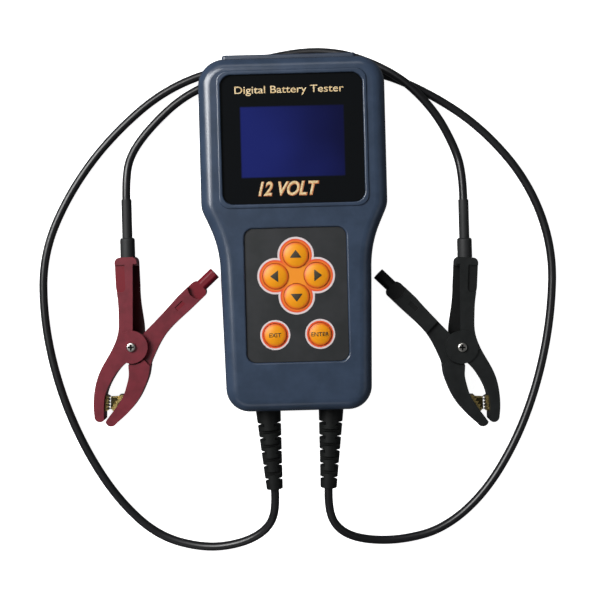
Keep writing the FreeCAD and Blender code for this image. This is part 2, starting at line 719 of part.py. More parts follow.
def make_electronics():
    """The main board and what it carries."""
    top = "( case_depth - board_drop ) + board_thickness"
    holes = board_posts("board_hole", "board_screw_width", "board_thickness + 2",
                        "case_depth - board_drop - 1")
    board = cut(
        "main_board",
        box("board_blank", ("board_width", "board_length", "board_thickness"),
            ("0", "board_y"), "( case_depth - board_drop )"),
        holes,
    )
    chip = box("controller_chip", ("chip_width", "chip_width", "chip_thickness"),
               ("0", "view_y"), top)
    header = box("board_header", ("50", "2.5", f"( case_depth - module_drop ) - ( {top} )"),
                 ("0", "view_y + module_length / 2 - 3"), top)
    row_pitch = 9.0
    resistors = group("load_resistors", [
        box(f"resistor_{side_name}_{row}", ("resistor_length", "resistor_width", "resistor_width"),
            (f"{side} * 20", f"-45 + {row * row_pitch}"), "( case_depth - board_drop ) - resistor_width")
        for side_name, side in (("left", -1), ("right", 1)) for row in range(2)
    ])
    relay = box("load_relay", ("relay_width", "relay_length", "relay_height"), ("-18", "-8"),
                "( case_depth - board_drop ) - relay_height")
    sounder = cylinder("sounder", "sounder_width", "sounder_height", ("18", "8"),
                       "( case_depth - board_drop ) - sounder_height")
    terminals, wires = [], []
    for side_name, side in (("left", -1), ("right", 1)):
        terminals.append(box(
            f"terminal_{side_name}", ("terminal_width", "terminal_width", "terminal_height"),
            (f"{side} * relief_x", "terminal_y"), "( case_depth - board_drop ) - terminal_height",
        ))
        start = "-1 * case_length / 2 + wall + relief_flange"
        wires.append(cylinder_along_y(
            f"wire_{side_name}", "lead_width",
            f"terminal_y - terminal_width / 2 - ( {start} )",
            (f"{side} * relief_x", start, "( case_depth - relief_drop )"),
        ))
    return [board, chip, header, resistors, relay, sounder,
            group("lead_terminals", terminals), group("inner_wires", wires)]


def make_screws():
    """The case screws, put in from the back, and the main board's screws."""
    case_screws = []
    for end, bottom in (("head", "head_screw_z"), ("foot", "screw_sink - screw_head_height")):
        for side_name, side in (("left", -1), ("right", 1)):
            at = (f"{side} * {end}_post_x", f"{end}_post_y")
            name = f"case_screw_{end}_{side_name}"
            seat = ("head_screw_z + screw_sink" if end == "head" else "screw_sink")
            case_screws.append(join(name, [
                cylinder(f"{name}_head", "screw_head - 2 * fit_gap", "screw_head_height", at,
                         f"{seat} - screw_head_height"),
                cylinder(f"{name}_shank", "screw_width",
                         f"parting_height + screw_bite - ( {seat} )", at, seat),
            ]))
    board_screws = []
    for i, (shank, head) in enumerate(zip(
        board_posts("board_screw_shank", "board_screw_width", "board_thickness + 4",
                    "case_depth - board_drop"),
        board_posts("board_screw_head", "board_screw_width * 1.9", "1.6",
                    "case_depth - board_drop - 1.6"),
    ), 1):
        board_screws.append(join(f"board_screw_{i}", [shank, head]))
    return [group("case_screws", case_screws), group("board_screws", board_screws)]


def make_port_cover():
    """The cover over the port in the top end: a thin plate with a plug behind it."""
    plate = rounded(
        "port_plate",
        box("port_plate_block", ("port_width", "port_proud", "port_height"),
            ("port_x", "case_length / 2 + port_proud / 2"), "port_z - port_height / 2"),
        "port_round", lambda edge: edge.BoundBox.XLength < TOUCH and edge.BoundBox.ZLength < TOUCH,
    )
    face = value("case_length") / 2 + value("port_proud")
    plate = rounded("port_plate_soft", plate, "port_edge",
                    lambda edge: abs(edge.BoundBox.YMin - face) < TOUCH)
    plug = box("port_plug", ("port_plug_width - fit_gap", "port_plug_depth",
                             "port_plug_height - fit_gap"),
               ("port_x", "case_length / 2 - port_plug_depth / 2"),
               "port_z - ( port_plug_height - fit_gap ) / 2")
    return join("port_cover", [plate, plug])


def relief_direction(side):
    """The way a strain relief points: out of the foot, leaning inwards and drooping a little."""
    lean = math.radians(value("relief_lean"))
    droop = math.radians(value("relief_droop"))
    return Vector(-side * math.sin(lean), -math.cos(lean) * math.cos(droop), -math.sin(droop))


def relief_foot(side):
    """Where a strain relief's axis meets the case's end wall."""
    height = value("case_depth") - value("relief_drop")
    return Vector(side * value("relief_x"), -value("case_length") / 2, height)


def make_strain_relief(side_name, side):
    """A tapered sleeve with slots on alternate sides, a neck in the wall and a flange inside."""
    sunk = 1.0
    length = value("relief_length")
    root = value("relief_root") / 2
    tip = value("relief_tip") / 2
    core = value("relief_core") / 2
    cone = Part.makeCone(root, tip, length)
    cone = cone.fuse(Part.makeCylinder(root, sunk, Vector(0, 0, -sunk))).removeSplitter()
    wide = 2 * root
    thin = value("slot_width")
    slots = []
    for i in range(int(value("slot_count"))):
        at = value("slot_first") + i * value("slot_pitch")
        for way in (-1, 1):
            corner = Vector(way * core if way > 0 else -core - wide, -root, at - thin / 2)
            slots.append(Part.makeBox(wide, wide, thin, corner))
        if i + 1 < value("slot_count"):
            between = at + value("slot_pitch") / 2
            for way in (-1, 1):
                corner = Vector(-root, way * core if way > 0 else -core - wide, between - thin / 2)
                slots.append(Part.makeBox(wide, wide, thin, corner))
    tapered = cone.cut(Part.makeCompound(slots))
    # its own Z runs along the relief and its own X stays level
    foot = relief_foot(side)
    along = relief_direction(side)
    level = UP.cross(along).normalize()
    tapered.Placement = Placement(foot, Rotation(level, along.cross(level), along))
    inside = Part.makeBox(4 * wide, wide, 4 * wide, foot - Vector(2 * wide, 0, 2 * wide))
    outer = tapered.cut(inside)
    neck = Part.makeCylinder(value("relief_neck") / 2, value("wall"), foot, Vector(0, 1, 0))
    flange = Part.makeCylinder(root, value("relief_flange"), foot + Vector(0, value("wall"), 0),
                               Vector(0, 1, 0))
    piece = doc.addObject("Part::Feature", f"strain_relief_{side_name}")
    piece.Shape = outer.fuse([neck, flange]).removeSplitter()
    return piece


def spline(points):
    """A smooth curve through points of a flat outline."""
    curve = Part.BSplineCurve()
    curve.interpolate([Vector(x, y, 0) for x, y in points])
    return curve


def straight(*points):
    """Straight edges from point to point of a flat outline."""
    flat = [Vector(x, y, 0) for x, y in points]
    return [Part.LineSegment(a, b) for a, b in zip(flat, flat[1:])]


def round_end(start, middle, end):
    """An arc through three points of a flat outline."""
    return Part.Arc(*[Vector(x, y, 0) for x, y in (start, middle, end)])


def prism(edges, bottom, top):
    """A closed flat outline extruded from one height to another."""
    wire = Part.Wire([edge.toShape() for edge in edges])
    wire.translate(UP * bottom)
    return Part.Face(wire).extrude(UP * (top - bottom))


def disc(width, bottom, top):
    """An upright cylinder about the pivot."""
    return Part.makeCylinder(width / 2, top - bottom, UP * bottom)


def block(low_x, high_x, low_y, high_y, bottom, top):
    """A box between its limits."""
    corner = Vector(low_x, low_y, bottom)
    return Part.makeBox(high_x - low_x, high_y - low_y, top - bottom, corner)


# A clamp is drawn about its pivot with the lead's handle along +Y, for the red one; the black one
# is its mirror image. The arm's and the lever's outlines were drawn together, so they stay a pair.
ARM_BACK = [(-7.2, 34.0), (-6.3, 26.0), (-6.3, 17.6), (-7.0, 9.0), (-9.5, 2.0), (-13.2, -4.4),
            (-17.3, -10.8), (-20.6, -18.0), (-22.4, -25.5), (-23.1, -32.5), (-22.9, -38.4)]
ARM_TIP = [(-22.9, -38.4), (-20.9, -41.5), (-17.8, -41.0)]
ARM_BITE = [(-17.8, -41.0), (-17.5, -36.0), (-16.5, -27.2), (-14.7, -22.5), (-11.9, -17.7),
            (-8.5, -13.2), (-5.2, -10.2)]
ARM_THROAT = [(-5.2, -10.2), (0.0, -6.0), (6.4, 4.5)]
ARM_FRONT = [(6.4, 4.5), (6.7, 10.0), (5.8, 20.0), (5.2, 30.0), (5.3, 34.0)]
LEAD_X = -0.3
LEVER_TOP = [(4.0, 0.6), (11.6, 1.0), (30.0, 1.8), (38.0, 2.5)]
LEVER_UNDER = [(38.0, -7.8), (30.0, -7.6), (20.0, -8.0), (13.0, -9.6)]
LEVER_BACK = [(12.4, -5.5), (10.0, -11.0), (8.9, -16.3), (7.0, -21.3), (3.8, -27.7),
              (-0.8, -34.1), (-6.9, -39.9), (-10.8, -42.9)]
LEVER_TIP = [(-10.8, -42.9), (-14.3, -44.4), (-16.9, -41.7)]
LEVER_BITE = [(-16.9, -41.7), (-12.4, -36.2), (-6.2, -27.8), (-3.5, -20.7), (-2.3, -15.7),
              (-2.3, -11.5), (-1.5, -6.0)]
ARM_TRIM = [(0.6, 6.5), (1.2, 9.8), (2.1, 28.0), (3.0, 47.0), (12.0, 47.0), (12.0, 6.5)]
THUMB_REST = [(-1.7, 46.8), (-1.7, 34.0), (-4.5, 31.2), (-12.0, 31.2), (-12.0, 46.8)]
TONGUE = [(-6.6, -28.1), (-12.0, -35.4), (-14.6, -35.6), (-14.1, -30.0), (-13.9, -28.1)]
TONGUE_LIP = [(-6.8, -28.1), (-7.3, -28.8), (-13.95, -28.8), (-13.9, -28.1)]
LEVER_PATCH = (33.0, 39.0, -3.4, -0.8)
CORNER = 3.0
STUB_OFFSET = -2.3


def lever_frame(points):
    """Points given along and across the lever's handle, turned into the clamp's own frame."""
    angle = math.radians(90 - value("lever_angle"))
    along, across = (math.cos(angle), math.sin(angle)), (-math.sin(angle), math.cos(angle))
    return [(u * along[0] + v * across[0], u * along[1] + v * across[1]) for u, v in points]


def turned_to_lever(shape):
    """A shape drawn along +X, turned to the lever's handle."""
    shape.rotate(Vector(0, 0, 0), UP, 90 - value("lever_angle"))
    return shape


def handle_end(near, far, length):
    """The rounded end of a handle between its two sides, from one side to the other."""
    bulge = CORNER * (1 - math.sqrt(0.5))
    return [
        (near, length - CORNER), (near - math.copysign(bulge, near - far), length - bulge),
        (near - math.copysign(CORNER, near - far), length),
        (far + math.copysign(CORNER, near - far), length),
        (far + math.copysign(bulge, near - far), length - bulge), (far, length - CORNER),
    ]


def levels():
    """The heights of a clamp's layers: the arm's plates, the lever's ears and its outer faces."""
    depth = value("clamp_depth")
    plate = value("clamp_plate")
    gap = value("clamp_clearance")
    ear = plate + gap
    inner = ear + value("clamp_ear")
    return depth, plate, gap, ear, inner


def thumb_rest():
    """The outline of the shallow rest for the thumb at the end of the arm's handle."""
    rest = THUMB_REST
    middle = (rest[1][0] - 0.8, rest[2][1] + 0.8)
    edges = straight(rest[0], rest[1]) + [round_end(rest[1], middle, rest[2])]
    return edges + straight(*rest[2:], rest[0])


def clamp_arm():
    """The arm: front and back plates and an outer web, open towards the lever, with a boss."""
    depth, plate, _, _, _ = levels()
    end = handle_end(ARM_FRONT[-1][0], ARM_BACK[0][0], value("handle_length"))
    outline = [spline(ARM_BACK), round_end(*ARM_TIP), spline(ARM_BITE)]
    outline += straight(*ARM_THROAT)
    outline += [spline(ARM_FRONT)] + straight(ARM_FRONT[-1], end[0]) + [round_end(*end[:3])]
    outline += straight(end[2], end[3]) + [round_end(*end[3:])] + straight(end[5], ARM_BACK[0])
    solid = prism(outline, 0, depth)
    trims = [prism(straight(*ARM_TRIM, ARM_TRIM[0]), depth - plate - TOUCH, depth + 1),
             prism(thumb_rest(), depth - value("thumb_depth"), depth + 1)]
    solid = solid.cut(trims).fuse(disc(value("hub_width"), 0, depth + value("hub_raise")))
    web = -value("spring_coil") / 2 - value("spring_wire") / 2 - PLAY
    reach = value("hub_width")
    end_wall = 5.0
    inside = [
        disc(value("hub_ear_width") + 2 * value("clamp_clearance"), plate, depth - plate),
        block(web, reach, -2, value("handle_length") - end_wall, plate, depth - plate),
        block(-4.3, reach, -12, 0, plate, depth - plate),
        disc(value("pivot_width"), -1, 2 * depth),
    ]
    return solid.cut(inside).removeSplitter()


def clamp_lever():
    """The lever: thinner where it turns inside the arm, full depth beyond, with a round stub."""
    depth, _, gap, ear, inner = levels()
    length = value("lever_length")
    end = [(u, v) for v, u in handle_end(LEVER_TOP[-1][1], LEVER_UNDER[0][1], length)]
    end = lever_frame(end)
    top = lever_frame(LEVER_TOP)
    under = lever_frame(LEVER_UNDER)
    outline = [spline(top)] + straight(top[-1], end[0]) + [round_end(*end[:3])]
    outline += straight(end[2], end[3]) + [round_end(*end[3:])] + straight(end[5], under[0])
    outline += [spline(under + LEVER_BACK), round_end(*LEVER_TIP), spline(LEVER_BITE)]
    outline += straight(LEVER_BITE[-1], top[0])
    solid = prism(outline, gap, depth - gap)
    wide = value("hub_width")
    shoulder = value("lever_shoulder")
    clear = disc(wide + 2, -1, depth + 1)
    clear = clear.fuse(turned_to_lever(block(0, shoulder, -wide, wide, -1, depth + 1)))
    layer = block(-depth * 5, depth * 5, -depth * 5, depth * 5, ear, depth - ear)
    solid = solid.cut(clear.cut(layer))
    solid = solid.fuse(disc(value("hub_ear_width"), ear, depth - ear))
    web = value("spring_coil") / 2 + value("spring_wire") / 2 + PLAY
    end_wall = 6.0
    middle = depth / 2
    stub = Part.makeCylinder(value("stub_width") / 2, value("stub_length") + 1,
                             Vector(length - 1, STUB_OFFSET, middle), Vector(1, 0, 0))
    bore = Part.makeCylinder(value("stub_width") / 2 - 1.3, value("stub_length"),
                             Vector(length + 1, STUB_OFFSET, middle), Vector(1, 0, 0))
    inside = [
        disc(value("hub_ear_width") + 2 * gap, inner, depth - inner),
        turned_to_lever(block(0, length - end_wall, -web, wide, inner, depth - inner)),
        disc(value("pivot_width") + 2 * value("pivot_gap"), -1, 2 * depth),
        turned_to_lever(bore),
    ]
    mouth_round = 6.4
    mouth_bottom = depth - gap - value("mouth_depth")
    mouth_middle = Vector(value("mouth_start") + mouth_round, STUB_OFFSET, mouth_bottom)
    mouth = Part.makeCylinder(mouth_round, depth, mouth_middle).fuse(
        block(mouth_middle.x, 2 * length, -wide, wide, mouth_bottom, depth + 1))
    rest = block(*LEVER_PATCH, depth - gap - value("patch_depth"), depth + 1)
    inside += [turned_to_lever(mouth), turned_to_lever(rest)]
    return solid.fuse(turned_to_lever(stub)).cut(inside).removeSplitter()


def clamp_pivot():
    """The pivot screw: a shank through both pieces and a round head with a cross recess."""
    lift = 0.3
    seat = value("clamp_depth") + value("hub_raise")
    head = value("pivot_head")
    top = seat + value("pivot_head_height")
    recess = [
        block(-a, a, -b, b, top - 0.9, top + 1)
        for a, b in ((head * 0.32, head * 0.09), (head * 0.09, head * 0.32))
    ]
    solid = disc(value("pivot_width"), lift, seat).fuse(disc(head, seat, top))
    rim = [edge for edge in solid.Edges if abs(edge.BoundBox.ZMin - top) < TOUCH]
    return solid.makeFillet(value("pivot_head_height") * 0.6, rim).cut(recess)


def spring_span():
    """The torsion spring's turn in degrees, its pitch, and where its coil starts and ends."""
    turn = value("spring_turns") * 360 + 180 - value("lever_angle")
    pitch = value("spring_wire") + 0.05
    height = pitch * turn / 360
    low = (value("clamp_depth") - height) / 2
    return turn, pitch, low, low + height


def clamp_spring():
    """The torsion spring's coil round the pivot, with the leg along the arm."""
    wire = value("spring_wire")
    radius = value("spring_coil") / 2
    _, pitch, low, high = spring_span()
    helix = Part.makeHelix(pitch, high - low, radius)
    section = Part.Wire(Part.makeCircle(wire / 2, Vector(radius, 0, 0), Vector(0, 1, 0)))
    coil = helix.makePipeShell([section], True, True)
    coil.rotate(Vector(0, 0, 0), UP, 180)
    coil.translate(UP * low)
    foot = Vector(-radius, 0, low)
    return coil.fuse([Part.makeCylinder(wire / 2, value("spring_leg"), foot, Vector(0, 1, 0))])


def clamp_spring_leg():
    """The spring's leg along the lever, which turns with it past the end of the coil."""
    level = spring_span()[3] + value("spring_gap")
    foot = Vector(0, -value("spring_coil") / 2, level)
    leg = Part.makeCylinder(
        value("spring_wire") / 2, value("spring_leg"), foot, Vector(1, 0, 0)
    )
    return turned_to_lever(leg)


def toothed(start, end, side):
    """A toothed contact along a jaw's face: a thin plate with teeth that point to one side."""
    start, end = Vector(*start, 0), Vector(*end, 0)
    along = (end - start) * (1 / value("tooth_count"))
    out = Vector(-along.y, along.x, 0).normalize() * side
    base = out * value("tooth_plate")
    peak = out * (value("tooth_plate") + value("tooth_height"))
    points = [start, start + base]
    for i in range(int(value("tooth_count"))):
        points += [start + along * (i + 0.5) + peak, start + along * (i + 1) + base]
    points += [end]
    low = (value("clamp_depth") - value("tooth_depth")) / 2
    face = Part.Face(Part.makePolygon(points + points[:1]))
    face.translate(UP * low)
    return face.extrude(UP * value("tooth_depth"))


def contact_tongue():
    """The plate of the lever's contact that reaches across to the arm's teeth."""
    middle = value("clamp_depth") / 2
    thickness = value("tongue_thickness")
    outline = straight(*TONGUE, TONGUE[0])
    lip = straight(*TONGUE_LIP, TONGUE_LIP[0])
    plate = prism(outline, middle - thickness, middle)
    return plate.fuse(prism(lip, middle - thickness, middle + value("tongue_lip")))


def handle_tip(pivot, way, turn):
    """Where the lead and its sleeve meet the end of a clamp's arm."""
    local = Vector(way * LEAD_X, value("handle_length"), value("clamp_depth") / 2)
    return Placement(pivot, Rotation(UP, turn)).multVec(local)


def make_sleeve(colour):
    """The heat-shrink sleeve: wide over the joint at the handle and narrow along the lead."""
    sunk = 0.6
    thick = value("sleeve_thick") / 2
    thin = value("sleeve_thin") / 2
    step = value("sleeve_thick_length") + sunk
    length = value("sleeve_length") + sunk
    drop = thick - thin
    flat = [Vector(x, y, 0) for x, y in ((0, length), (0, 0), (thick, 0), (thick, step - drop))]
    edges = [Part.LineSegment(a, b) for a, b in zip(flat, flat[1:])]
    waist = Vector(thin, step, 0)
    bulge = Vector(thin + drop * math.sqrt(0.5), step - drop * (1 - math.sqrt(0.5)), 0)
    edges.append(Part.Arc(flat[-1], bulge, waist))
    far = Vector(thin, length, 0)
    edges += [Part.LineSegment(waist, far), Part.LineSegment(far, flat[0])]
    blank = turned(f"{colour}_sleeve_blank", edges)
    pivot, way, turn = CLAMPS[colour]
    start = handle_tip(pivot, way, turn) - Vector(0, sunk, 0)
    blank.Placement = Placement(start, Rotation(Vector(1, 0, 0), -90))
    # its foot is cut along the arm's end, because the clamp lies at a slight turn to its lead
    arm = doc.addObject("Part::Feature", f"{colour}_sleeve_foot")
    reach = value("handle_length")
    arm.Shape = block(-reach, reach, 0, reach + value("sleeve_gap"), -reach, reach)
    arm.Placement = Placement(pivot, Rotation(UP, turn))
    return cut(f"{colour}_sleeve", blank, [arm])


def make_clamp(colour):
    """One clamp: its arm, lever, pivot, spring, toothed contacts and the lead's sleeve."""
    pivot, way, turn = CLAMPS[colour]
    shapes = {
        "arm": clamp_arm(),
        "lever": clamp_lever(),
        "pivot": clamp_pivot(),
        "spring": clamp_spring(),
        "spring_leg": clamp_spring_leg(),
        "arm_teeth": toothed(ARM_BITE[2], (-17.4, -36.0), 1),
        "lever_teeth": toothed(LEVER_BITE[2], LEVER_BITE[1], -1).fuse(contact_tongue()),
    }
    pieces = []
    for part, shape in shapes.items():
        piece = doc.addObject("Part::Feature", f"{colour}_{part}")
        piece.Shape = shape if way > 0 else shape.mirror(Vector(0, 0, 0), Vector(1, 0, 0))
        piece.Placement = Placement(pivot, Rotation(UP, turn)) * piece.Placement
        pieces.append(piece)
    return pieces + [make_sleeve(colour)]


def lead_route(label):
    """The points of a lead's route, from the tip of its strain relief to its clamp's sleeve."""
    side, colour = LEAD_ENDS[label]
    way = relief_direction(side)
    tip = relief_foot(side) + way * value("relief_length")
    end = handle_tip(*CLAMPS[colour]) + Vector(0, value("sleeve_length"), 0)
    straight_run = value("lead_straight")
    middle = [Vector(*point) for point in LEAD_ROUTES[label]]
    return [tip, tip + way * straight_run] + middle + [end + Vector(0, straight_run, 0), end]


def make_lead(label):
    """A lead: straight runs joined by arcs as large as the runs allow."""
    points = lead_route(label)
    radius = value("lead_width") / 2
    edges, radii = [], []
    last = points[0]
    for before, point, after in zip(points, points[1:], points[2:]):
        come = (point - before).normalize()
        go = (after - point).normalize()
        turn = come.getAngle(go)
        reach = ARC_SHARE * min((point - before).Length, (after - point).Length)
        bend = reach / math.tan(turn / 2)
        radii.append(bend)
        start = point - come * reach
        end = point + go * reach
        centre = point + (go - come).normalize() * (bend / math.cos(turn / 2))
        middle = centre + (point - centre).normalize() * bend
        edges += [Part.LineSegment(last, start).toShape(), Part.Arc(start, middle, end).toShape()]
        last = end
    edges.append(Part.LineSegment(last, points[-1]).toShape())
    path = Part.Wire(edges)
    section = Part.Wire(Part.makeCircle(radius, points[0], points[1] - points[0]))
    piece = doc.addObject("Part::Feature", label)
    piece.Shape = path.makePipeShell([section], True, False)
    wanted = math.pi * radius ** 2 * path.Length
    print(f"{label}: {path.Length:.1f} mm, tightest arcs "
          f"{', '.join(f'{r:.1f}' for r in sorted(radii)[:4])} mm, volume "
          f"{piece.Shape.Volume / wanted:.4f} of section times length")
    return piece


def build_nodes():
    """Every piece of the tester, each as one node."""
    nodes = [make_front_shell(), make_rear_shell(), make_port_cover()]
    nodes += make_screws() + make_display() + make_keypad() + make_electronics()
    nodes += [make_strain_relief(name, side) for name, side in (("left", -1), ("right", 1))]
    for colour in CLAMPS:
        nodes += make_clamp(colour)
    nodes += [make_lead(label) for label in LEAD_ENDS]
    doc.recompute()
    return nodes


def write_nodes(nodes):
    """Checks every object of the document and every node, then writes one file for each node."""
    for item in doc.Objects:
        if "Invalid" in item.State or "Error" in item.State:
            raise RuntimeError(f"{item.Label} has failed: {item.State}")
    for node in nodes:
        if node.Shape.isNull() or not node.Shape.isValid() or not node.Shape.Solids:
            raise RuntimeError(f"{node.Label} has no valid shape")
    os.makedirs("parts", exist_ok=True)
    for node in nodes:
        node.Shape.exportStep(os.path.join("parts", f"{node.Label}.step"))
        print(f"{node.Label}: {len(node.Shape.Solids)} solids, {node.Shape.Volume:.0f} mm3")


write_nodes(build_nodes())
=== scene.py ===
"""Hand-held battery tester with two clamp leads: its finishes, cords, prints, light and camera.

Every length is in metres and every place is in the tester's own frame: it lies on its back, +X is
to the right of the display, +Y runs to the head and +Z out of the front.
"""

import logging
import math
from dataclasses import dataclass
from enum import Enum
from typing import Sequence

import bpy
from mathutils import Matrix, Vector


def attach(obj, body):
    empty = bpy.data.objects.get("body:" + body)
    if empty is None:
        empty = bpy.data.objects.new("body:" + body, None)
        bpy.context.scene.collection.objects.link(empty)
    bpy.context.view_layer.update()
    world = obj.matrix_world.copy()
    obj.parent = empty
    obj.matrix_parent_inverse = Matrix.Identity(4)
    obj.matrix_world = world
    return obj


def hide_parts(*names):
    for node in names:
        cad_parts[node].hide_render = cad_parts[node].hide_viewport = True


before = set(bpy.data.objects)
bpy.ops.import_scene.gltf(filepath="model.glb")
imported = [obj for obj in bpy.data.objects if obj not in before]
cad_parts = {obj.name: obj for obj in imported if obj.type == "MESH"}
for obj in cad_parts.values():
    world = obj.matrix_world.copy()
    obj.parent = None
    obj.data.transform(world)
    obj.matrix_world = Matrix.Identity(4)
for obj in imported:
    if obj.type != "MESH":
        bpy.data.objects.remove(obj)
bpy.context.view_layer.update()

LOG = logging.getLogger("battery_tester")
MM = 0.001
ROOT = "tester"
Colour = tuple[float, float, float]
Point = tuple[float, float, float]


def shade(red: int, green: int, blue: int) -> Colour:
    """A colour given as it looks on a display, turned into linear light."""
    def linear(level: int) -> float:
        part = level / 255
        return part / 12.92 if part <= 0.04045 else ((part + 0.055) / 1.055) ** 2.4
    return linear(red), linear(green), linear(blue)


class Side(Enum):
    """Which side of the case something is on, as the display is read."""

    LEFT = -1
    RIGHT = 1


class Grip(Enum):
    """The two clamps."""

    RED = "red"
    BLACK = "black"


# ---------------------------------------------------------------------------------- finishes


class Graph:
    """A material's node graph, with short calls for the nodes that the finishes use."""

    def __init__(self, name: str) -> None:
        """Starts an empty material with a Principled shader.

        Args:
            name: the material's name.
        """
        self.material = bpy.data.materials.new(name)
        self.material.use_nodes = True
        self.tree = self.material.node_tree
        self.tree.nodes.clear()
        self.out = self.tree.nodes.new("ShaderNodeOutputMaterial")
        self.shader = self.tree.nodes.new("ShaderNodeBsdfPrincipled")
        self.link(self.shader.outputs["BSDF"], self.out.inputs["Surface"])

    def link(self, source: bpy.types.NodeSocket, target: bpy.types.NodeSocket) -> None:
        """Joins two sockets."""
        self.tree.links.new(source, target)

    def feed(self, target: bpy.types.NodeSocket, value: object) -> None:
        """Links a socket to a target, or sets a plain number or colour on it.

        Args:
            target: the input that takes the value.
            value: an output socket, a number, or a colour of three numbers.
        """
        if isinstance(value, bpy.types.NodeSocket):
            self.link(value, target)
        elif isinstance(value, tuple) and target.type == "RGBA":
            target.default_value = (*value, 1.0)
        else:
            target.default_value = value

    def set(self, **values: object) -> None:
        """Sets the shader's own sockets by name, with _ in place of each space."""
        for name, value in values.items():
            self.feed(self.shader.inputs[name.replace("_", " ")], value)

    def place(self, centre: Point = (0.0, 0.0, 0.0), stretch: Point = (1.0, 1.0, 1.0)
              ) -> bpy.types.NodeSocket:
        """The point in the object's frame, centred on a point and stretched.

        Args:
            centre: the point that becomes the pattern's origin.
            stretch: a factor along each axis.

        Returns:
            The vector socket of the placed point.
        """
        where = self.tree.nodes.new("ShaderNodeTexCoord")
        mapping = self.tree.nodes.new("ShaderNodeMapping")
        mapping.inputs["Location"].default_value = [-c * s for c, s in zip(centre, stretch)]
        mapping.inputs["Scale"].default_value = stretch
        self.link(where.outputs["Object"], mapping.inputs["Vector"])
        return mapping.outputs["Vector"]

    def noise(self, size: float, detail: float = 3.0, rough: float = 0.55,
              stretch: Point = (1.0, 1.0, 1.0)) -> bpy.types.NodeSocket:
        """Soft noise whose blobs are about size across.

        Args:
            size: the width of the blobs, in metres.
            detail: octaves of finer noise.
            rough: weight of the finer octaves.
            stretch: a factor along each axis.

        Returns:
            The noise's factor, from 0 to 1.
        """
        node = self.tree.nodes.new("ShaderNodeTexNoise")
        self.feed(node.inputs["Vector"], self.place(stretch=stretch))
        node.inputs["Scale"].default_value = 1.0 / size
        node.inputs["Detail"].default_value = detail
        node.inputs["Roughness"].default_value = rough
        return node.outputs["Fac"]

    def maths(self, kind: str, first: object, second: object = 0.0, third: object = 0.0
              ) -> bpy.types.NodeSocket:
        """One Math node.

        Args:
            kind: the node's operation.
            first: the first operand, a socket or a number.
            second: the second operand.
            third: the third operand.

        Returns:
            The result.
        """
        node = self.tree.nodes.new("ShaderNodeMath")
        node.operation = kind
        for target, value in zip(node.inputs, (first, second, third)):
            self.feed(target, value)
        return node.outputs[0]

    def band(self, value: bpy.types.NodeSocket, low: float, high: float) -> bpy.types.NodeSocket:
        """A smooth step from 0 at low to 1 at high, for any order of the two."""
        node = self.tree.nodes.new("ShaderNodeMapRange")
        node.interpolation_type = "SMOOTHSTEP"
        flipped = low > high
        ends = (min(low, high), max(low, high), float(flipped), float(not flipped))
        for name, end in zip(("From Min", "From Max", "To Min", "To Max"), ends):
            node.inputs[name].default_value = end
        self.feed(node.inputs["Value"], value)
        return node.outputs["Result"]

    def mix(self, factor: object, first: object, second: object) -> bpy.types.NodeSocket:
        """A colour between two colours."""
        node = self.tree.nodes.new("ShaderNodeMix")
        node.data_type = "RGBA"
        self.feed(node.inputs["Factor"], factor)
        self.feed(node.inputs[6], first)
        self.feed(node.inputs[7], second)
        return node.outputs[2]

    def bump(self, height: bpy.types.NodeSocket, depth: float) -> None:
        """Raises the surface by a height from 0 to 1, depth in metres."""
        node = self.tree.nodes.new("ShaderNodeBump")
        node.inputs["Distance"].default_value = depth
        node.inputs["Strength"].default_value = 1.0
        self.feed(node.inputs["Height"], height)
        self.link(node.outputs["Normal"], self.shader.inputs["Normal"])

    def split(self, vector: bpy.types.NodeSocket) -> tuple[bpy.types.NodeSocket, ...]:
        """The three parts of a vector."""
        node = self.tree.nodes.new("ShaderNodeSeparateXYZ")
        self.link(vector, node.inputs[0])
        return node.outputs[0], node.outputs[1], node.outputs[2]

    def facing_up(self) -> bpy.types.NodeSocket:
        """1 where a face looks out of the front, and 0 on upright walls."""
        where = self.tree.nodes.new("ShaderNodeTexCoord")
        return self.band(self.split(where.outputs["Normal"])[2], 0.3, 0.7)

    def distance(self, across: object, along: object) -> bpy.types.NodeSocket:
        """The length of a flat vector."""
        squares = self.maths("MULTIPLY_ADD", across, across, self.maths("MULTIPLY", along, along))
        return self.maths("SQRT", squares)


@dataclass(frozen=True)
class Moulding:
    """A moulded plastic or rubber: grain in the tool, clouding in the colour, uneven gloss."""

    name: str
    colour: Colour
    dark: Colour
    rough: float = 0.45
    rough_spread: float = 0.12
    grain: float = 0.35 * MM
    grain_depth: float = 0.02 * MM
    cloud: float = 14.0 * MM
    specular: float = 0.5
    sheen: float = 0.0

    def build(self) -> bpy.types.Material:
        """The material with its grain, clouding and gloss."""
        graph = Graph(self.name)
        cloud = graph.noise(self.cloud, detail=4.0)
        graph.set(
            Base_Color=graph.mix(graph.band(cloud, 0.3, 0.7), self.dark, self.colour),
            Roughness=graph.maths("MULTIPLY_ADD", graph.noise(self.grain * 6), self.rough_spread,
                                  self.rough - self.rough_spread / 2),
            Specular_IOR_Level=self.specular,
            Sheen_Weight=self.sheen,
            Sheen_Roughness=0.5,
        )
        graph.bump(graph.noise(self.grain, detail=2.0), self.grain_depth)
        return graph.material


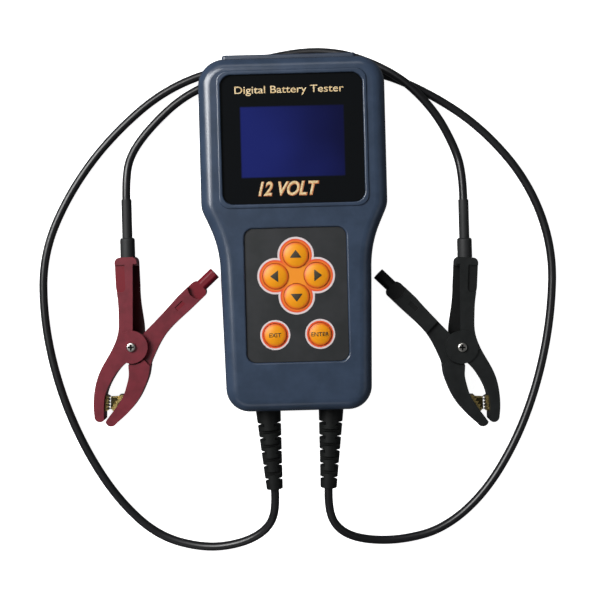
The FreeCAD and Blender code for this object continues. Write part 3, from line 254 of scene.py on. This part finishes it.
@dataclass(frozen=True)
class GripPlastic:
    """A clamp's plastic: rubbed dull on its outer faces and fresh in its sunk places, with painted
    shade darkening the deepest up-facing floors.
    """

    name: str
    face: Colour
    worn: Colour
    fresh: Colour
    # inner is painted shade: the darker colour given to up-facing faces deep in the channel
    inner: Colour

    def build(self) -> bpy.types.Material:
        """The material with its rubbed faces, fresh recesses, painted shade on the deep floors,
        grain and uneven gloss.
        """
        graph = Graph(self.name)
        _, _, level = graph.split(graph.place())
        cloud = graph.noise(7 * MM, detail=5.0)
        face = graph.mix(graph.band(cloud, 0.35, 0.7), self.face, self.worn)
        # thumb rest and mark lie just under the outer faces, mouth and stub well under them
        shallow = graph.maths("MULTIPLY", graph.band(level, 11.5 * MM, 11.7 * MM),
                              graph.band(level, 12.4 * MM, 12.25 * MM))
        deep = graph.band(level, 10.15 * MM, 10.05 * MM)
        sunk = graph.maths("MULTIPLY", graph.maths("MAXIMUM", shallow, deep), graph.facing_up())
        # painted shade: up-facing sunk faces go from the fresh colour at 9 mm to the darker inner
        # colour at 5 mm and below
        floor = graph.mix(graph.band(level, 9.0 * MM, 5.0 * MM), self.fresh, self.inner)
        graph.set(
            Base_Color=graph.mix(sunk, face, floor),
            Roughness=graph.maths("MULTIPLY_ADD", graph.noise(2 * MM, detail=4.0), 0.16, 0.36),
            Specular_IOR_Level=0.2,
        )
        graph.bump(graph.noise(0.45 * MM, detail=2.0), 0.018 * MM)
        return graph.material


@dataclass(frozen=True)
class PivotNickel:
    """Plated steel for the pivot and spring, with painted shade on faces that look up below a
    level.
    """

    name: str = "pivot_nickel"
    bright: Colour = (0.62, 0.60, 0.56)
    dull: Colour = (0.36, 0.35, 0.32)
    # painted shade: near black for up-facing faces below the recess level, in the screw's cross
    # recess and on the spring's tops
    painted_shade: Colour = (0.02, 0.02, 0.02)
    recess: float = 14.9 * MM

    def build(self) -> bpy.types.Material:
        """The material with its bloom and the painted shade in its recess."""
        graph = Graph(self.name)
        _, _, level = graph.split(graph.place())
        bloom = graph.noise(2.0 * MM, detail=4.0)
        metal = graph.mix(graph.band(bloom, 0.35, 0.7), self.bright, self.dull)
        # painted shade: up-facing faces below the recess level take the near-black colour
        sunk = graph.maths("MULTIPLY", graph.band(level, self.recess, self.recess - 0.3 * MM),
                           graph.facing_up())
        graph.set(Base_Color=graph.mix(sunk, metal, self.painted_shade), Metallic=1.0,
                  Roughness=graph.maths("MULTIPLY_ADD", bloom, 0.2, 0.2))
        graph.bump(graph.noise(0.3 * MM), 0.01 * MM)
        return graph.material


@dataclass(frozen=True)
class Plating:
    """A plated metal with fine scratches and a dull bloom."""

    name: str
    colour: Colour
    dull: Colour
    rough: float = 0.22

    def build(self) -> bpy.types.Material:
        """The material with its scratches and bloom."""
        graph = Graph(self.name)
        bloom = graph.noise(2.5 * MM, detail=4.0)
        scratch = graph.noise(0.25 * MM, detail=2.0, stretch=(1.0, 0.12, 1.0))
        graph.set(
            Base_Color=graph.mix(graph.band(bloom, 0.35, 0.75), self.colour, self.dull),
            Metallic=1.0,
            Roughness=graph.maths("MULTIPLY_ADD", bloom, 0.2, self.rough - 0.08),
        )
        graph.bump(scratch, 0.012 * MM)
        return graph.material


@dataclass(frozen=True)
class ToothBrass:
    """The toothed contacts: bright brass on the teeth's flanks, with patches of dark tarnish, and
    painted shade on the parts that lie low.
    """

    name: str = "tooth_brass"
    bright: Colour = (0.90, 0.68, 0.26)
    dull: Colour = (0.45, 0.33, 0.12)
    # dark colour for the random tarnish patches and for the painted shade on the low parts
    tarnish_and_shade: Colour = (0.030, 0.030, 0.014)

    def build(self) -> bpy.types.Material:
        """The material with its bright spots, its tarnish and its painted shade."""
        graph = Graph(self.name)
        patch = graph.noise(1.6 * MM, detail=5.0, rough=0.6)
        fine = graph.noise(0.5 * MM, detail=3.0)
        _, _, level = graph.split(graph.place())
        # painted shade: everything below 7.6 mm darkens fully by 6.2 mm, where the low contact
        # tongue lies in shadow
        low = graph.band(level, 7.6 * MM, 6.2 * MM)
        rough = graph.maths("MULTIPLY_ADD", patch, 0.35, 0.12)
        metal = graph.mix(graph.band(fine, 0.4, 0.6), self.bright, self.dull)
        # the dark colour goes on the painted shade and on the tarnish patches
        dark = graph.maths("MAXIMUM", low, graph.band(patch, 0.54, 0.64))
        graph.set(Base_Color=graph.mix(dark, metal, self.tarnish_and_shade), Metallic=1.0, Roughness=rough)
        graph.bump(patch, 0.05 * MM)
        return graph.material


@dataclass(frozen=True)
class DisplayPane:
    """The window: a black border behind gloss, and the lit blue picture of the display."""

    name: str = "display_pane"
    border: Colour = shade(14, 16, 18)
    lit: Colour = shade(25, 32, 92)
    dim: Colour = shade(13, 15, 50)
    view: tuple[float, float] = (56.3 * MM, 38.35 * MM)
    view_y: float = 50.7 * MM
    dot: float = 0.44 * MM

    def build(self) -> bpy.types.Material:
        """The material with the picture area, its uneven backlight and its dots."""
        graph = Graph(self.name)
        across, along, _ = graph.split(graph.place(centre=(0.0, self.view_y, 0.0)))
        edges = []
        for value, size in ((across, self.view[0]), (along, self.view[1])):
            reach = graph.maths("ABSOLUTE", value)
            edges.append(graph.band(reach, size / 2 + 0.7 * MM, size / 2 - 0.5 * MM))
        inside = graph.maths("MULTIPLY", *edges)
        slope = graph.maths("MULTIPLY_ADD", across, 0.5, graph.maths("MULTIPLY", along, 0.12))
        glow = graph.maths("MULTIPLY_ADD", graph.noise(30 * MM, detail=1.0), -0.02, slope)
        blue = graph.mix(graph.band(glow, -0.024, 0.008), self.lit, self.dim)
        cells = []
        for value in (across, along):
            step = graph.maths("FRACT", graph.maths("DIVIDE", value, self.dot))
            cells.append(graph.band(graph.maths("ABSOLUTE", graph.maths("SUBTRACT", step, 0.5)),
                                    0.5, 0.42))
        cell = graph.maths("MULTIPLY", *cells)
        blue = graph.mix(graph.maths("MULTIPLY_ADD", cell, 0.12, 0.88), (0.0, 0.0, 0.0), blue)
        colour = graph.mix(inside, self.border, blue)
        graph.set(
            Base_Color=colour,
            Roughness=graph.maths("MULTIPLY_ADD", graph.noise(9 * MM, detail=5.0), 0.06, 0.06),
            Specular_IOR_Level=0.35,
            Emission_Color=graph.mix(inside, (0.0, 0.0, 0.0), blue),
            Emission_Strength=0.30,
        )
        graph.bump(graph.noise(6 * MM, detail=1.0), 0.004 * MM)
        return graph.material


@dataclass(frozen=True)
class KeypadPrint:
    """The keypad panel: satin dark film with the printed clover and rings round the keys."""

    name: str = "keypad_print"
    film: Colour = shade(48, 49, 51)
    film_dark: Colour = shade(40, 42, 43)
    white: Colour = shade(226, 212, 212)
    rim: Colour = shade(236, 84, 42)
    orange: Colour = shade(248, 150, 34)
    pad_y: float = -22.8 * MM
    reach: float = 11.3 * MM
    pair_x: float = 12.3 * MM
    pair_y: float = -55.0 * MM
    soft: float = 0.12 * MM

    def build(self) -> bpy.types.Material:
        """The material with its printed clover, rings and film grain."""
        graph = Graph(self.name)
        x, y, _ = graph.split(graph.place(centre=(0.0, self.pad_y, 0.0)))
        side, level = graph.maths("ABSOLUTE", x), graph.maths("ABSOLUTE", y)
        clover = graph.maths(
            "MINIMUM",
            graph.distance(graph.maths("SUBTRACT", side, self.reach), level),
            graph.distance(side, graph.maths("SUBTRACT", level, self.reach)),
        )
        pair = graph.distance(
            graph.maths("SUBTRACT", side, self.pair_x),
            graph.maths("ADD", y, self.pad_y - self.pair_y),
        )
        middle = graph.maths("MAXIMUM", side, level)
        film = graph.mix(graph.band(graph.noise(18 * MM), 0.3, 0.7), self.film_dark, self.film)
        colour = film
        for field, white, rim, inner in (
            (clover, 9.95 * MM, 8.9 * MM, 7.9 * MM), (pair, 8.2 * MM, 7.3 * MM, 6.3 * MM)
        ):
            colour = graph.mix(self.step(graph, field, white), colour, self.white)
            colour = graph.mix(self.step(graph, field, rim), colour, self.rim)
            fade = graph.band(field, rim - 0.2 * MM, inner - 0.9 * MM)
            colour = graph.mix(graph.maths("MULTIPLY", fade, 0.75), colour, self.orange)
        colour = graph.mix(graph.band(middle, 6.4 * MM, 4.2 * MM), colour, self.orange)
        graph.set(
            Base_Color=colour,
            Roughness=graph.maths("MULTIPLY_ADD", graph.noise(3 * MM), 0.14, 0.36),
            Specular_IOR_Level=0.25,
        )
        graph.bump(graph.noise(0.3 * MM, detail=2.0), 0.008 * MM)
        return graph.material

    def step(self, graph: Graph, field: bpy.types.NodeSocket, edge: float
             ) -> bpy.types.NodeSocket:
        """1 inside a line of a distance field and 0 outside it."""
        return graph.band(field, edge + self.soft, edge - self.soft)


@dataclass(frozen=True)
class KeyRubber:
    """A silicone key: orange on the dome and redder towards its rim."""

    name: str
    centre: tuple[float, float]
    radius: float
    top: Colour = shade(246, 158, 22)
    rim: Colour = shade(232, 98, 34)

    def build(self) -> bpy.types.Material:
        """The material with the redder rim and a fine grain."""
        graph = Graph(self.name)
        x, y, _ = graph.split(graph.place(centre=(*self.centre, 0.0)))
        ring = graph.distance(x, y)
        wobble = graph.maths("MULTIPLY_ADD", graph.noise(4 * MM), 0.5 * MM, ring)
        graph.set(
            Base_Color=graph.mix(graph.band(wobble, self.radius * 0.78, self.radius * 1.06),
                                 self.top, self.rim),
            Roughness=graph.maths("MULTIPLY_ADD", graph.noise(2 * MM), 0.12, 0.30),
            Subsurface_Weight=0.05,
            Subsurface_Radius=(0.8 * MM, 0.35 * MM, 0.1 * MM),
            Subsurface_Scale=1.0,
            Specular_IOR_Level=0.22,
        )
        graph.bump(graph.noise(0.25 * MM, detail=2.0), 0.006 * MM)
        return graph.material


@dataclass(frozen=True)
class Ink:
    """A printed ink, a little uneven, as a pad print is."""

    name: str
    colour: Colour
    worn: Colour
    glow: float = 0.0

    def build(self) -> bpy.types.Material:
        """The material with its uneven coverage."""
        graph = Graph(self.name)
        cover = graph.noise(0.9 * MM, detail=4.0)
        graph.set(
            Base_Color=graph.mix(graph.band(cover, 0.35, 0.65), self.worn, self.colour),
            Roughness=graph.maths("MULTIPLY_ADD", cover, 0.2, 0.35),
            Specular_IOR_Level=0.4,
        )
        graph.bump(cover, 0.01 * MM)
        return graph.material


@dataclass(frozen=True)
class FloorPaint:
    """The pale floor, lit a little from within so that shadows on it stay faint."""

    name: str = "floor_paint"
    colour: Colour = (0.86, 0.86, 0.86)
    glow: float = 0.96

    def build(self) -> bpy.types.Material:
        """The material of the floor."""
        graph = Graph(self.name)
        mottle = graph.noise(0.4, detail=2.0)
        graph.set(
            Base_Color=graph.mix(mottle, tuple(0.99 * part for part in self.colour), self.colour),
            Roughness=0.9,
            Specular_IOR_Level=0.0,
            Emission_Color=(1.0, 1.0, 1.0),
            Emission_Strength=self.glow,
        )
        return graph.material


# ------------------------------------------------------------------------------------ helpers


def deselect() -> None:
    """Leaves nothing selected, because an operator acts on all that is."""
    if bpy.context.object and bpy.context.object.mode != "OBJECT":
        bpy.ops.object.mode_set(mode="OBJECT")
    bpy.ops.object.select_all(action="DESELECT")


def choose(piece: bpy.types.Object) -> None:
    """Selects one piece and makes it the active one."""
    deselect()
    piece.select_set(True)
    bpy.context.view_layer.objects.active = piece


def dress(piece: bpy.types.Object, material: bpy.types.Material) -> None:
    """Gives all of a piece one material."""
    piece.data.materials.clear()
    piece.data.materials.append(material)


def dress_node(node: str, material: bpy.types.Material) -> None:
    """Gives a part of the frame a better material in each of its slots."""
    piece = bpy.data.objects[node]
    if not piece.material_slots:
        piece.data.materials.append(material)
    for slot in piece.material_slots:
        slot.material = material


def ride(piece: bpy.types.Object, body: str) -> None:
    """Makes a piece move with a body and logs which body it rides on."""
    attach(piece, body)
    LOG.info("%s rides on %s", piece.name, body)


def smooth(piece: bpy.types.Object, degrees: float = 35.0) -> None:
    """Shades a piece smoothly over all but its sharp edges."""
    choose(piece)
    bpy.ops.object.shade_smooth_by_angle(angle=math.radians(degrees))


# -------------------------------------------------------------------------------------- cords


@dataclass
class TestLead:
    """A free test lead, from the tip of its strain relief to the sleeve at its clamp."""

    side: Side
    grip: Grip
    route: Sequence[Point]
    length: float
    diameter: float = 4.7 * MM

    @property
    def node(self) -> str:
        """The name of the lead's own part of the frame."""
        return f"lead_{self.side.name.lower()}"

    def make(self, jacket: bpy.types.Material) -> bpy.types.Object:
        """Lays the lead along its route as one smooth line.

        Args:
            jacket: the finish of the lead's jacket.

        Returns:
            The lead's curve.
        """
        curve = bpy.data.curves.new(f"{self.node}_cord", "CURVE")
        curve.dimensions = "3D"
        line = curve.splines.new("NURBS")
        line.points.add(len(self.route) - 1)
        for point, place in zip(line.points, self.route):
            point.co = (*[part * MM for part in place], 1.0)
        line.order_u = 3
        line.use_endpoint_u = True
        curve.resolution_u = 16
        curve.bevel_depth = self.diameter / 2
        curve.bevel_resolution = 7
        curve.use_fill_caps = True
        cord = bpy.data.objects.new(f"{self.node}_cord", curve)
        bpy.context.scene.collection.objects.link(cord)
        cord.data.materials.append(jacket)
        ride(cord, ROOT)
        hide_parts(self.node)
        return cord


LEFT_ROUTE: Sequence[Point] = (
    (-15.23, -143.2, 15.39), (-14.51, -156.17, 14.94), (-21.0, -168.5, 11.4),
    (-36.5, -176.5, 7.4), (-58.0, -179.0, 3.8), (-84.0, -171.5, 2.35), (-106.5, -149.5, 2.35),
    (-125.0, -119.0, 2.35), (-138.6, -84.0, 2.35), (-146.0, -46.0, 2.35),
    (-145.5, -8.5, 2.35), (-130.4, 25.6, 2.35), (-105.6, 58.2, 2.35), (-70.0, 87.6, 2.35),
    (-26.0, 99.5, 2.35), (21.0, 107.0, 2.35), (58.5, 91.5, 9.1), (80.5, 70.0, 9.1),
    (93.4, 46.5, 5.0), (96.77, 30.26, 6.5), (96.77, 17.26, 6.5),
)
RIGHT_ROUTE: Sequence[Point] = (
    (15.23, -143.2, 15.39), (14.51, -156.17, 14.94), (20.0, -168.5, 11.4),
    (33.0, -175.5, 7.4), (56.0, -177.5, 3.8), (81.0, -172.0, 2.35), (104.5, -153.0, 2.35),
    (124.0, -123.0, 2.35), (137.8, -88.5, 2.35), (146.3, -50.0, 2.35), (148.2, -11.0, 2.35),
    (135.0, 27.0, 2.35), (109.0, 58.5, 2.35), (79.0, 79.5, 2.35), (47.0, 93.5, 2.35),
    (6.0, 96.5, 2.35), (-36.0, 91.8, 2.35), (-61.5, 81.6, 2.35), (-80.5, 65.0, 2.35),
    (-93.0, 49.0, 3.6), (-96.05, 35.28, 6.5), (-96.05, 22.28, 6.5),
)


# ------------------------------------------------------------------------------------- prints


@dataclass
class Lettering:
    """Printed letters: how they are drawn and where they lie."""

    name: str
    words: str
    size: float
    width: float
    centre: Point
    slant: float = 0.0
    weight: float = 0.0
    thickness: float = 0.03 * MM
    turn: float = 0.0

    def make(self, ink: bpy.types.Material) -> bpy.types.Object:
        """The letters as a mesh, as wide as asked and centred on their place.

        Args:
            ink: the finish of the letters.

        Returns:
            The mesh object.
        """
        deselect()
        bpy.ops.object.text_add(location=(0.0, 0.0, 0.0))
        letters = bpy.context.object
        letters.data.body = self.words
        letters.data.size = self.size
        letters.data.shear = self.slant
        letters.data.offset = self.weight
        letters.data.extrude = self.thickness
        letters.data.resolution_u = 6
        bpy.ops.object.convert(target="MESH")
        letters = bpy.context.object
        letters.name = self.name
        letters.data.name = self.name
        corners = [Vector(corner) for corner in letters.bound_box]
        low = Vector(map(min, *corners))
        high = Vector(map(max, *corners))
        stretch = self.width / (high.x - low.x)
        fit = Matrix.Diagonal((stretch, 1.0, 1.0, 1.0))
        centred = Matrix.Translation(-(low + high) / 2)
        turned = Matrix.Rotation(math.radians(self.turn), 4, "Z")
        letters.data.transform(Matrix.Translation(self.centre) @ turned @ fit @ centred)
        dress(letters, ink)
        return letters


# ---------------------------------------------------------------------------------- sub-parts


@dataclass
class Case:
    """The two shells, the port cover, the screws, the window and what is behind it."""

    title_centre: Point = (-1.3 * MM, 78.7 * MM, 37.23 * MM)
    title_width: float = 59.7 * MM
    title_size: float = 5.7 * MM
    value_centre: Point = (-3.0 * MM, 25.2 * MM, 37.23 * MM)
    value_width: float = 32.8 * MM
    value_size: float = 10.4 * MM

    def finish(self) -> None:
        """Dresses the case's parts."""
        slate = Moulding("slate_plastic", shade(57, 71, 92), shade(50, 63, 82), rough=0.25,
                         rough_spread=0.06, grain=0.4 * MM, grain_depth=0.008 * MM).build()
        dark = Moulding("slate_plastic_dark", shade(50, 62, 80), shade(44, 54, 71), rough=0.36,
                        grain=0.4 * MM, grain_depth=0.016 * MM).build()
        rubber = Moulding("relief_rubber", shade(25, 27, 26), shade(20, 21, 21), rough=0.5,
                          grain=0.3 * MM, grain_depth=0.02 * MM, specular=0.16).build()
        nickel = Plating("nickel", (0.72, 0.70, 0.66), (0.45, 0.43, 0.40)).build()
        dress_node("front_shell", slate)
        dress_node("rear_shell", dark)
        dress_node("port_cover", dark)
        dress_node("case_screws", nickel)
        dress_node("board_screws", nickel)
        dress_node("display_window", DisplayPane().build())
        for side in Side:
            dress_node(f"strain_relief_{side.name.lower()}", rubber)

    def print_window(self) -> None:
        """Prints the words on the window."""
        cream = Ink("cream_ink", shade(244, 222, 178), shade(214, 178, 118)).build()
        edge = Ink("copper_ink", shade(206, 120, 62), shade(170, 92, 44)).build()
        title = Lettering("window_title", "Digital Battery Tester",
                          self.title_size, self.title_width,
                          self.title_centre, weight=0.03 * MM)
        ride(title.make(cream), ROOT)
        value = Lettering("window_value", "12 VOLT", self.value_size, self.value_width,
                          self.value_centre, slant=0.28, weight=0.16 * MM)
        ride(value.make(cream), ROOT)
        x, y, z = self.value_centre
        under = Lettering("window_value_edge", "12 VOLT", self.value_size,
                          self.value_width + 0.8 * MM, (x + 0.25 * MM, y - 0.2 * MM, z - 0.02 * MM),
                          slant=0.28, weight=0.42 * MM, thickness=0.015 * MM)
        ride(under.make(edge), ROOT)


@dataclass
class Electronics:
    """The boards and parts inside the case."""

    def finish(self) -> None:
        """Dresses the parts inside."""
        board = Moulding("board_resin", shade(22, 92, 52), shade(14, 74, 40), rough=0.3,
                         grain=0.9 * MM, cloud=3 * MM).build()
        black = Moulding("part_resin", shade(26, 26, 28), shade(20, 20, 22), rough=0.45).build()
        cement = Moulding("resistor_cement", shade(222, 218, 206), shade(200, 195, 180),
                          rough=0.8, grain_depth=0.05 * MM).build()
        guide = Moulding("light_guide", shade(60, 80, 210), shade(50, 66, 190), rough=0.2).build()
        glass = Moulding("display_glass", shade(22, 24, 90), shade(18, 20, 76), rough=0.1).build()
        tin = Plating("tin", (0.70, 0.70, 0.70), (0.50, 0.50, 0.50), rough=0.35).build()
        for node, material in {
            "main_board": board, "lcd_board": board, "lcd_frame": tin, "lcd_backlight": guide,
            "lcd_glass": glass, "key_switches": black, "controller_chip": black,
            "board_header": black, "load_resistors": cement, "load_relay": black,
            "sounder": black, "lead_terminals": tin, "inner_wires": black,
        }.items():
            dress_node(node, material)


@dataclass
class Keypad:
    """The panel's print, the six keys and the marks on them."""

    pad_y: float = -22.8 * MM
    reach: float = 11.3 * MM
    pair_x: float = 12.3 * MM
    pair_y: float = -55.0 * MM
    arrow: tuple[float, float] = (6.6 * MM, 4.4 * MM)
    mark: float = 0.05 * MM

    def keys(self) -> dict[str, tuple[float, float, float]]:
        """Each key's middle and radius."""
        wide, single = 6.9 * MM, 6.1 * MM
        return {
            "key_up": (0.0, self.pad_y + self.reach, wide),
            "key_down": (0.0, self.pad_y - self.reach, wide),
            "key_left": (-self.reach, self.pad_y, wide),
            "key_right": (self.reach, self.pad_y, wide),
            "key_exit": (-self.pair_x, self.pair_y, single),
            "key_enter": (self.pair_x, self.pair_y, single),
        }

    def finish(self) -> None:
        """Dresses the panel and the keys."""
        dress_node("keypad_panel", KeypadPrint().build())
        for key, (x, y, radius) in self.keys().items():
            dress_node(key, KeyRubber(f"{key}_rubber", (x, y), radius).build())

    def drape(self, piece: bpy.types.Object, key: str) -> None:
        """Lays a flat mark onto a key's dome.

        Args:
            piece: the mark, which starts above the key.
            key: the name of the key.
        """
        wrap = piece.modifiers.new("lay_on_key", "SHRINKWRAP")
        wrap.target = bpy.data.objects[key]
        wrap.wrap_method = "PROJECT"
        wrap.use_project_z = True
        wrap.use_negative_direction = True
        wrap.use_positive_direction = False
        wrap.offset = self.mark
        choose(piece)
        bpy.ops.object.modifier_apply(modifier=wrap.name)

    def refine(self, piece: bpy.types.Object, size: float) -> None:
        """Cuts a flat mark along a grid, so that it can bend over a dome.

        Args:
            piece: the mark.
            size: the grid's pitch.
        """
        low = Vector(map(min, *[Vector(corner) for corner in piece.bound_box]))
        high = Vector(map(max, *[Vector(corner) for corner in piece.bound_box]))
        choose(piece)
        bpy.ops.object.mode_set(mode="EDIT")
        for axis, normal in ((0, (1.0, 0.0, 0.0)), (1, (0.0, 1.0, 0.0))):
            count = int((high[axis] - low[axis]) / size)
            for i in range(1, count + 1):
                at = [0.0, 0.0, 0.0]
                at[axis] = low[axis] + (high[axis] - low[axis]) * i / (count + 1)
                bpy.ops.mesh.select_all(action="SELECT")
                bpy.ops.mesh.bisect(plane_co=at, plane_no=normal)
        bpy.ops.object.mode_set(mode="OBJECT")

    def print_marks(self) -> None:
        """Prints the arrows and the words on the keys."""
        olive = Ink("olive_ink", shade(50, 44, 26), shade(62, 54, 30)).build()
        turns = {"key_up": 0, "key_left": 90, "key_down": 180, "key_right": 270}
        height = 40 * MM
        for key, (x, y, _) in self.keys().items():
            if key in turns:
                deselect()
                bpy.ops.mesh.primitive_circle_add(vertices=3, radius=1.0, fill_type="NGON",
                                                  location=(0.0, 0.0, 0.0))
                mark = bpy.context.object
                mark.name = f"{key}_arrow"
                wide, tall = self.arrow
                shape = Matrix.Diagonal((wide / math.sqrt(3), tall / 1.5, 1.0, 1.0))
                turned = Matrix.Rotation(math.radians(turns[key]), 4, "Z")
                mark.data.transform(Matrix.Translation((x, y, height)) @ turned @ shape)
                self.round_corners(mark)
            else:
                word = "EXIT" if key == "key_exit" else "ENTER"
                wide = 6.6 * MM if key == "key_exit" else 9.6 * MM
                mark = Lettering(f"{key}_word", word, 3.2 * MM, wide, (x, y, height),
                                 weight=0.05 * MM, thickness=0.0).make(olive)
            dress(mark, olive)
            self.refine(mark, 0.8 * MM)
            self.drape(mark, key)
            self.thicken(mark)
            ride(mark, key)

    def round_corners(self, mark: bpy.types.Object) -> None:
        """Takes the sharp points off an arrow."""
        choose(mark)
        bpy.ops.object.mode_set(mode="EDIT")
        bpy.ops.mesh.select_all(action="SELECT")
        bpy.ops.mesh.bevel(offset=0.35 * MM, segments=3, affect="VERTICES")
        bpy.ops.object.mode_set(mode="OBJECT")

    def thicken(self, mark: bpy.types.Object) -> None:
        """Gives a mark the thickness of its ink."""
        skin = mark.modifiers.new("ink", "SOLIDIFY")
        skin.thickness = 0.03 * MM
        skin.offset = 0.0
        choose(mark)
        bpy.ops.object.modifier_apply(modifier=skin.name)


@dataclass
class Clamp:
    """One clamp: the finishes of its parts."""

    grip: Grip

    def finish(self, brass: bpy.types.Material, nickel: bpy.types.Material,
               shrink: bpy.types.Material) -> None:
        """Dresses the clamp's parts.

        Args:
            brass: the finish of the toothed contacts.
            nickel: the finish of the pivot and the spring.
            shrink: the finish of the sleeve on the lead.
        """
        name = self.grip.value
        # each set is face, worn, fresh and inner; inner is the painted shade of the deep channel
        # floors
        if self.grip is Grip.RED:
            colours = (shade(118, 36, 48), shade(104, 30, 41), shade(116, 16, 32),
                       shade(74, 16, 24))
        else:
            colours = (shade(30, 32, 32), shade(24, 26, 26), shade(22, 23, 23),
                       shade(16, 17, 17))
        plastic = GripPlastic(f"{name}_grip_plastic", *colours).build()
        dress_node(f"{name}_arm", plastic)
        dress_node(f"{name}_lever", plastic)
        dress_node(f"{name}_pivot", nickel)
        dress_node(f"{name}_spring", nickel)
        dress_node(f"{name}_spring_leg", nickel)
        dress_node(f"{name}_arm_teeth", brass)
        dress_node(f"{name}_lever_teeth", brass)
        dress_node(f"{name}_sleeve", shrink)


# ---------------------------------------------------------------------------- light and camera


@dataclass
class Studio:
    """The pale floor, the soft lights and the camera straight above."""

    floor_size: float = 6.0
    floor_drop: float = 0.2 * MM
    aim: Point = (0.0, -0.03, 0.0)
    sky: Colour = (0.9, 0.95, 1.0)
    sky_strength: float = 0.10
    height: float = 0.686
    view_width: float = 0.3468
    roll: float = -1.5
    sensor: float = 36.0
    shift: tuple[float, float] = (0.0082, -0.11)

    def make_camera(self) -> None:
        """Puts the camera above the tester, looking straight down."""
        data = bpy.data.cameras.new("camera")
        data.sensor_width = self.sensor
        data.lens = self.sensor * self.height / self.view_width
        data.clip_start = 0.01
        data.clip_end = 20.0
        data.shift_x, data.shift_y = self.shift
        camera = bpy.data.objects.new("camera", data)
        camera.location = (0.0, 0.0, self.height)
        camera.rotation_euler = (0.0, 0.0, math.radians(self.roll))
        bpy.context.scene.collection.objects.link(camera)
        bpy.context.scene.camera = camera

    def make_floor(self) -> None:
        """Lays the floor under the tester."""
        deselect()
        bpy.ops.mesh.primitive_plane_add(size=self.floor_size,
                                         location=(0.0, 0.0, -self.floor_drop))
        floor = bpy.context.object
        floor.name = "floor"
        dress(floor, FloorPaint().build())
        floor.visible_glossy = False
        floor.visible_diffuse = False

    def make_lights(self) -> None:
        """Hangs the soft boxes round the tester and sets a dim sky."""
        for name, place, size, power, lights_faces in (
            ("key_box", (-0.85, 0.45, 0.90), (0.60, 0.60), 19.0, True),
            ("gloss_strip", (-0.50, 0.32, 1.06), (0.80, 0.26), 11.0, False),
            ("fill_box", (0.95, -0.25, 0.75), (0.7, 0.5), 0.4, True),
            ("head_box", (-0.10, 1.05, 0.80), (0.9, 0.35), 2.0, True),
            ("foot_box", (-0.35, -0.95, 0.75), (0.9, 0.35), 1.0, True),
        ):
            data = bpy.data.lights.new(name, "AREA")
            data.shape = "RECTANGLE"
            data.size, data.size_y = size
            data.energy = power
            light = bpy.data.objects.new(name, data)
            light.location = place
            light.visible_diffuse = lights_faces
            aim = Vector(self.aim) - light.location
            light.rotation_euler = aim.to_track_quat("-Z", "Y").to_euler()
            bpy.context.scene.collection.objects.link(light)
        world = bpy.data.worlds.new("studio")
        world.use_nodes = True
        sky = world.node_tree.nodes["Background"]
        sky.inputs["Color"].default_value = (*self.sky, 1.0)
        sky.inputs["Strength"].default_value = self.sky_strength
        bpy.context.scene.world = world
        bpy.context.scene.view_settings.view_transform = "Standard"


def main() -> None:
    """Builds the scene in order: camera, cords, sub-parts, prints, floor and lights."""
    logging.basicConfig(level=logging.INFO, format="%(message)s")
    studio = Studio()
    studio.make_camera()
    jacket = Moulding("lead_jacket", shade(28, 28, 30), shade(23, 23, 25), rough=0.32,
                      grain=0.5 * MM, grain_depth=0.012 * MM, specular=0.36).build()
    TestLead(Side.LEFT, Grip.BLACK, LEFT_ROUTE, 0.616).make(jacket)
    TestLead(Side.RIGHT, Grip.RED, RIGHT_ROUTE, 0.605).make(jacket)

    case = Case()
    case.finish()
    case.print_window()
    Electronics().finish()
    keypad = Keypad()
    keypad.finish()
    keypad.print_marks()
    brass = ToothBrass().build()
    nickel = PivotNickel().build()
    shrink = Moulding("shrink_sleeve", shade(40, 41, 42), shade(33, 34, 35), rough=0.6,
                      grain=0.6 * MM, specular=0.25).build()
    for grip in Grip:
        Clamp(grip).finish(brass, nickel, shrink)
    studio.make_floor()
    studio.make_lights()


if __name__ == "__main__":
    main()
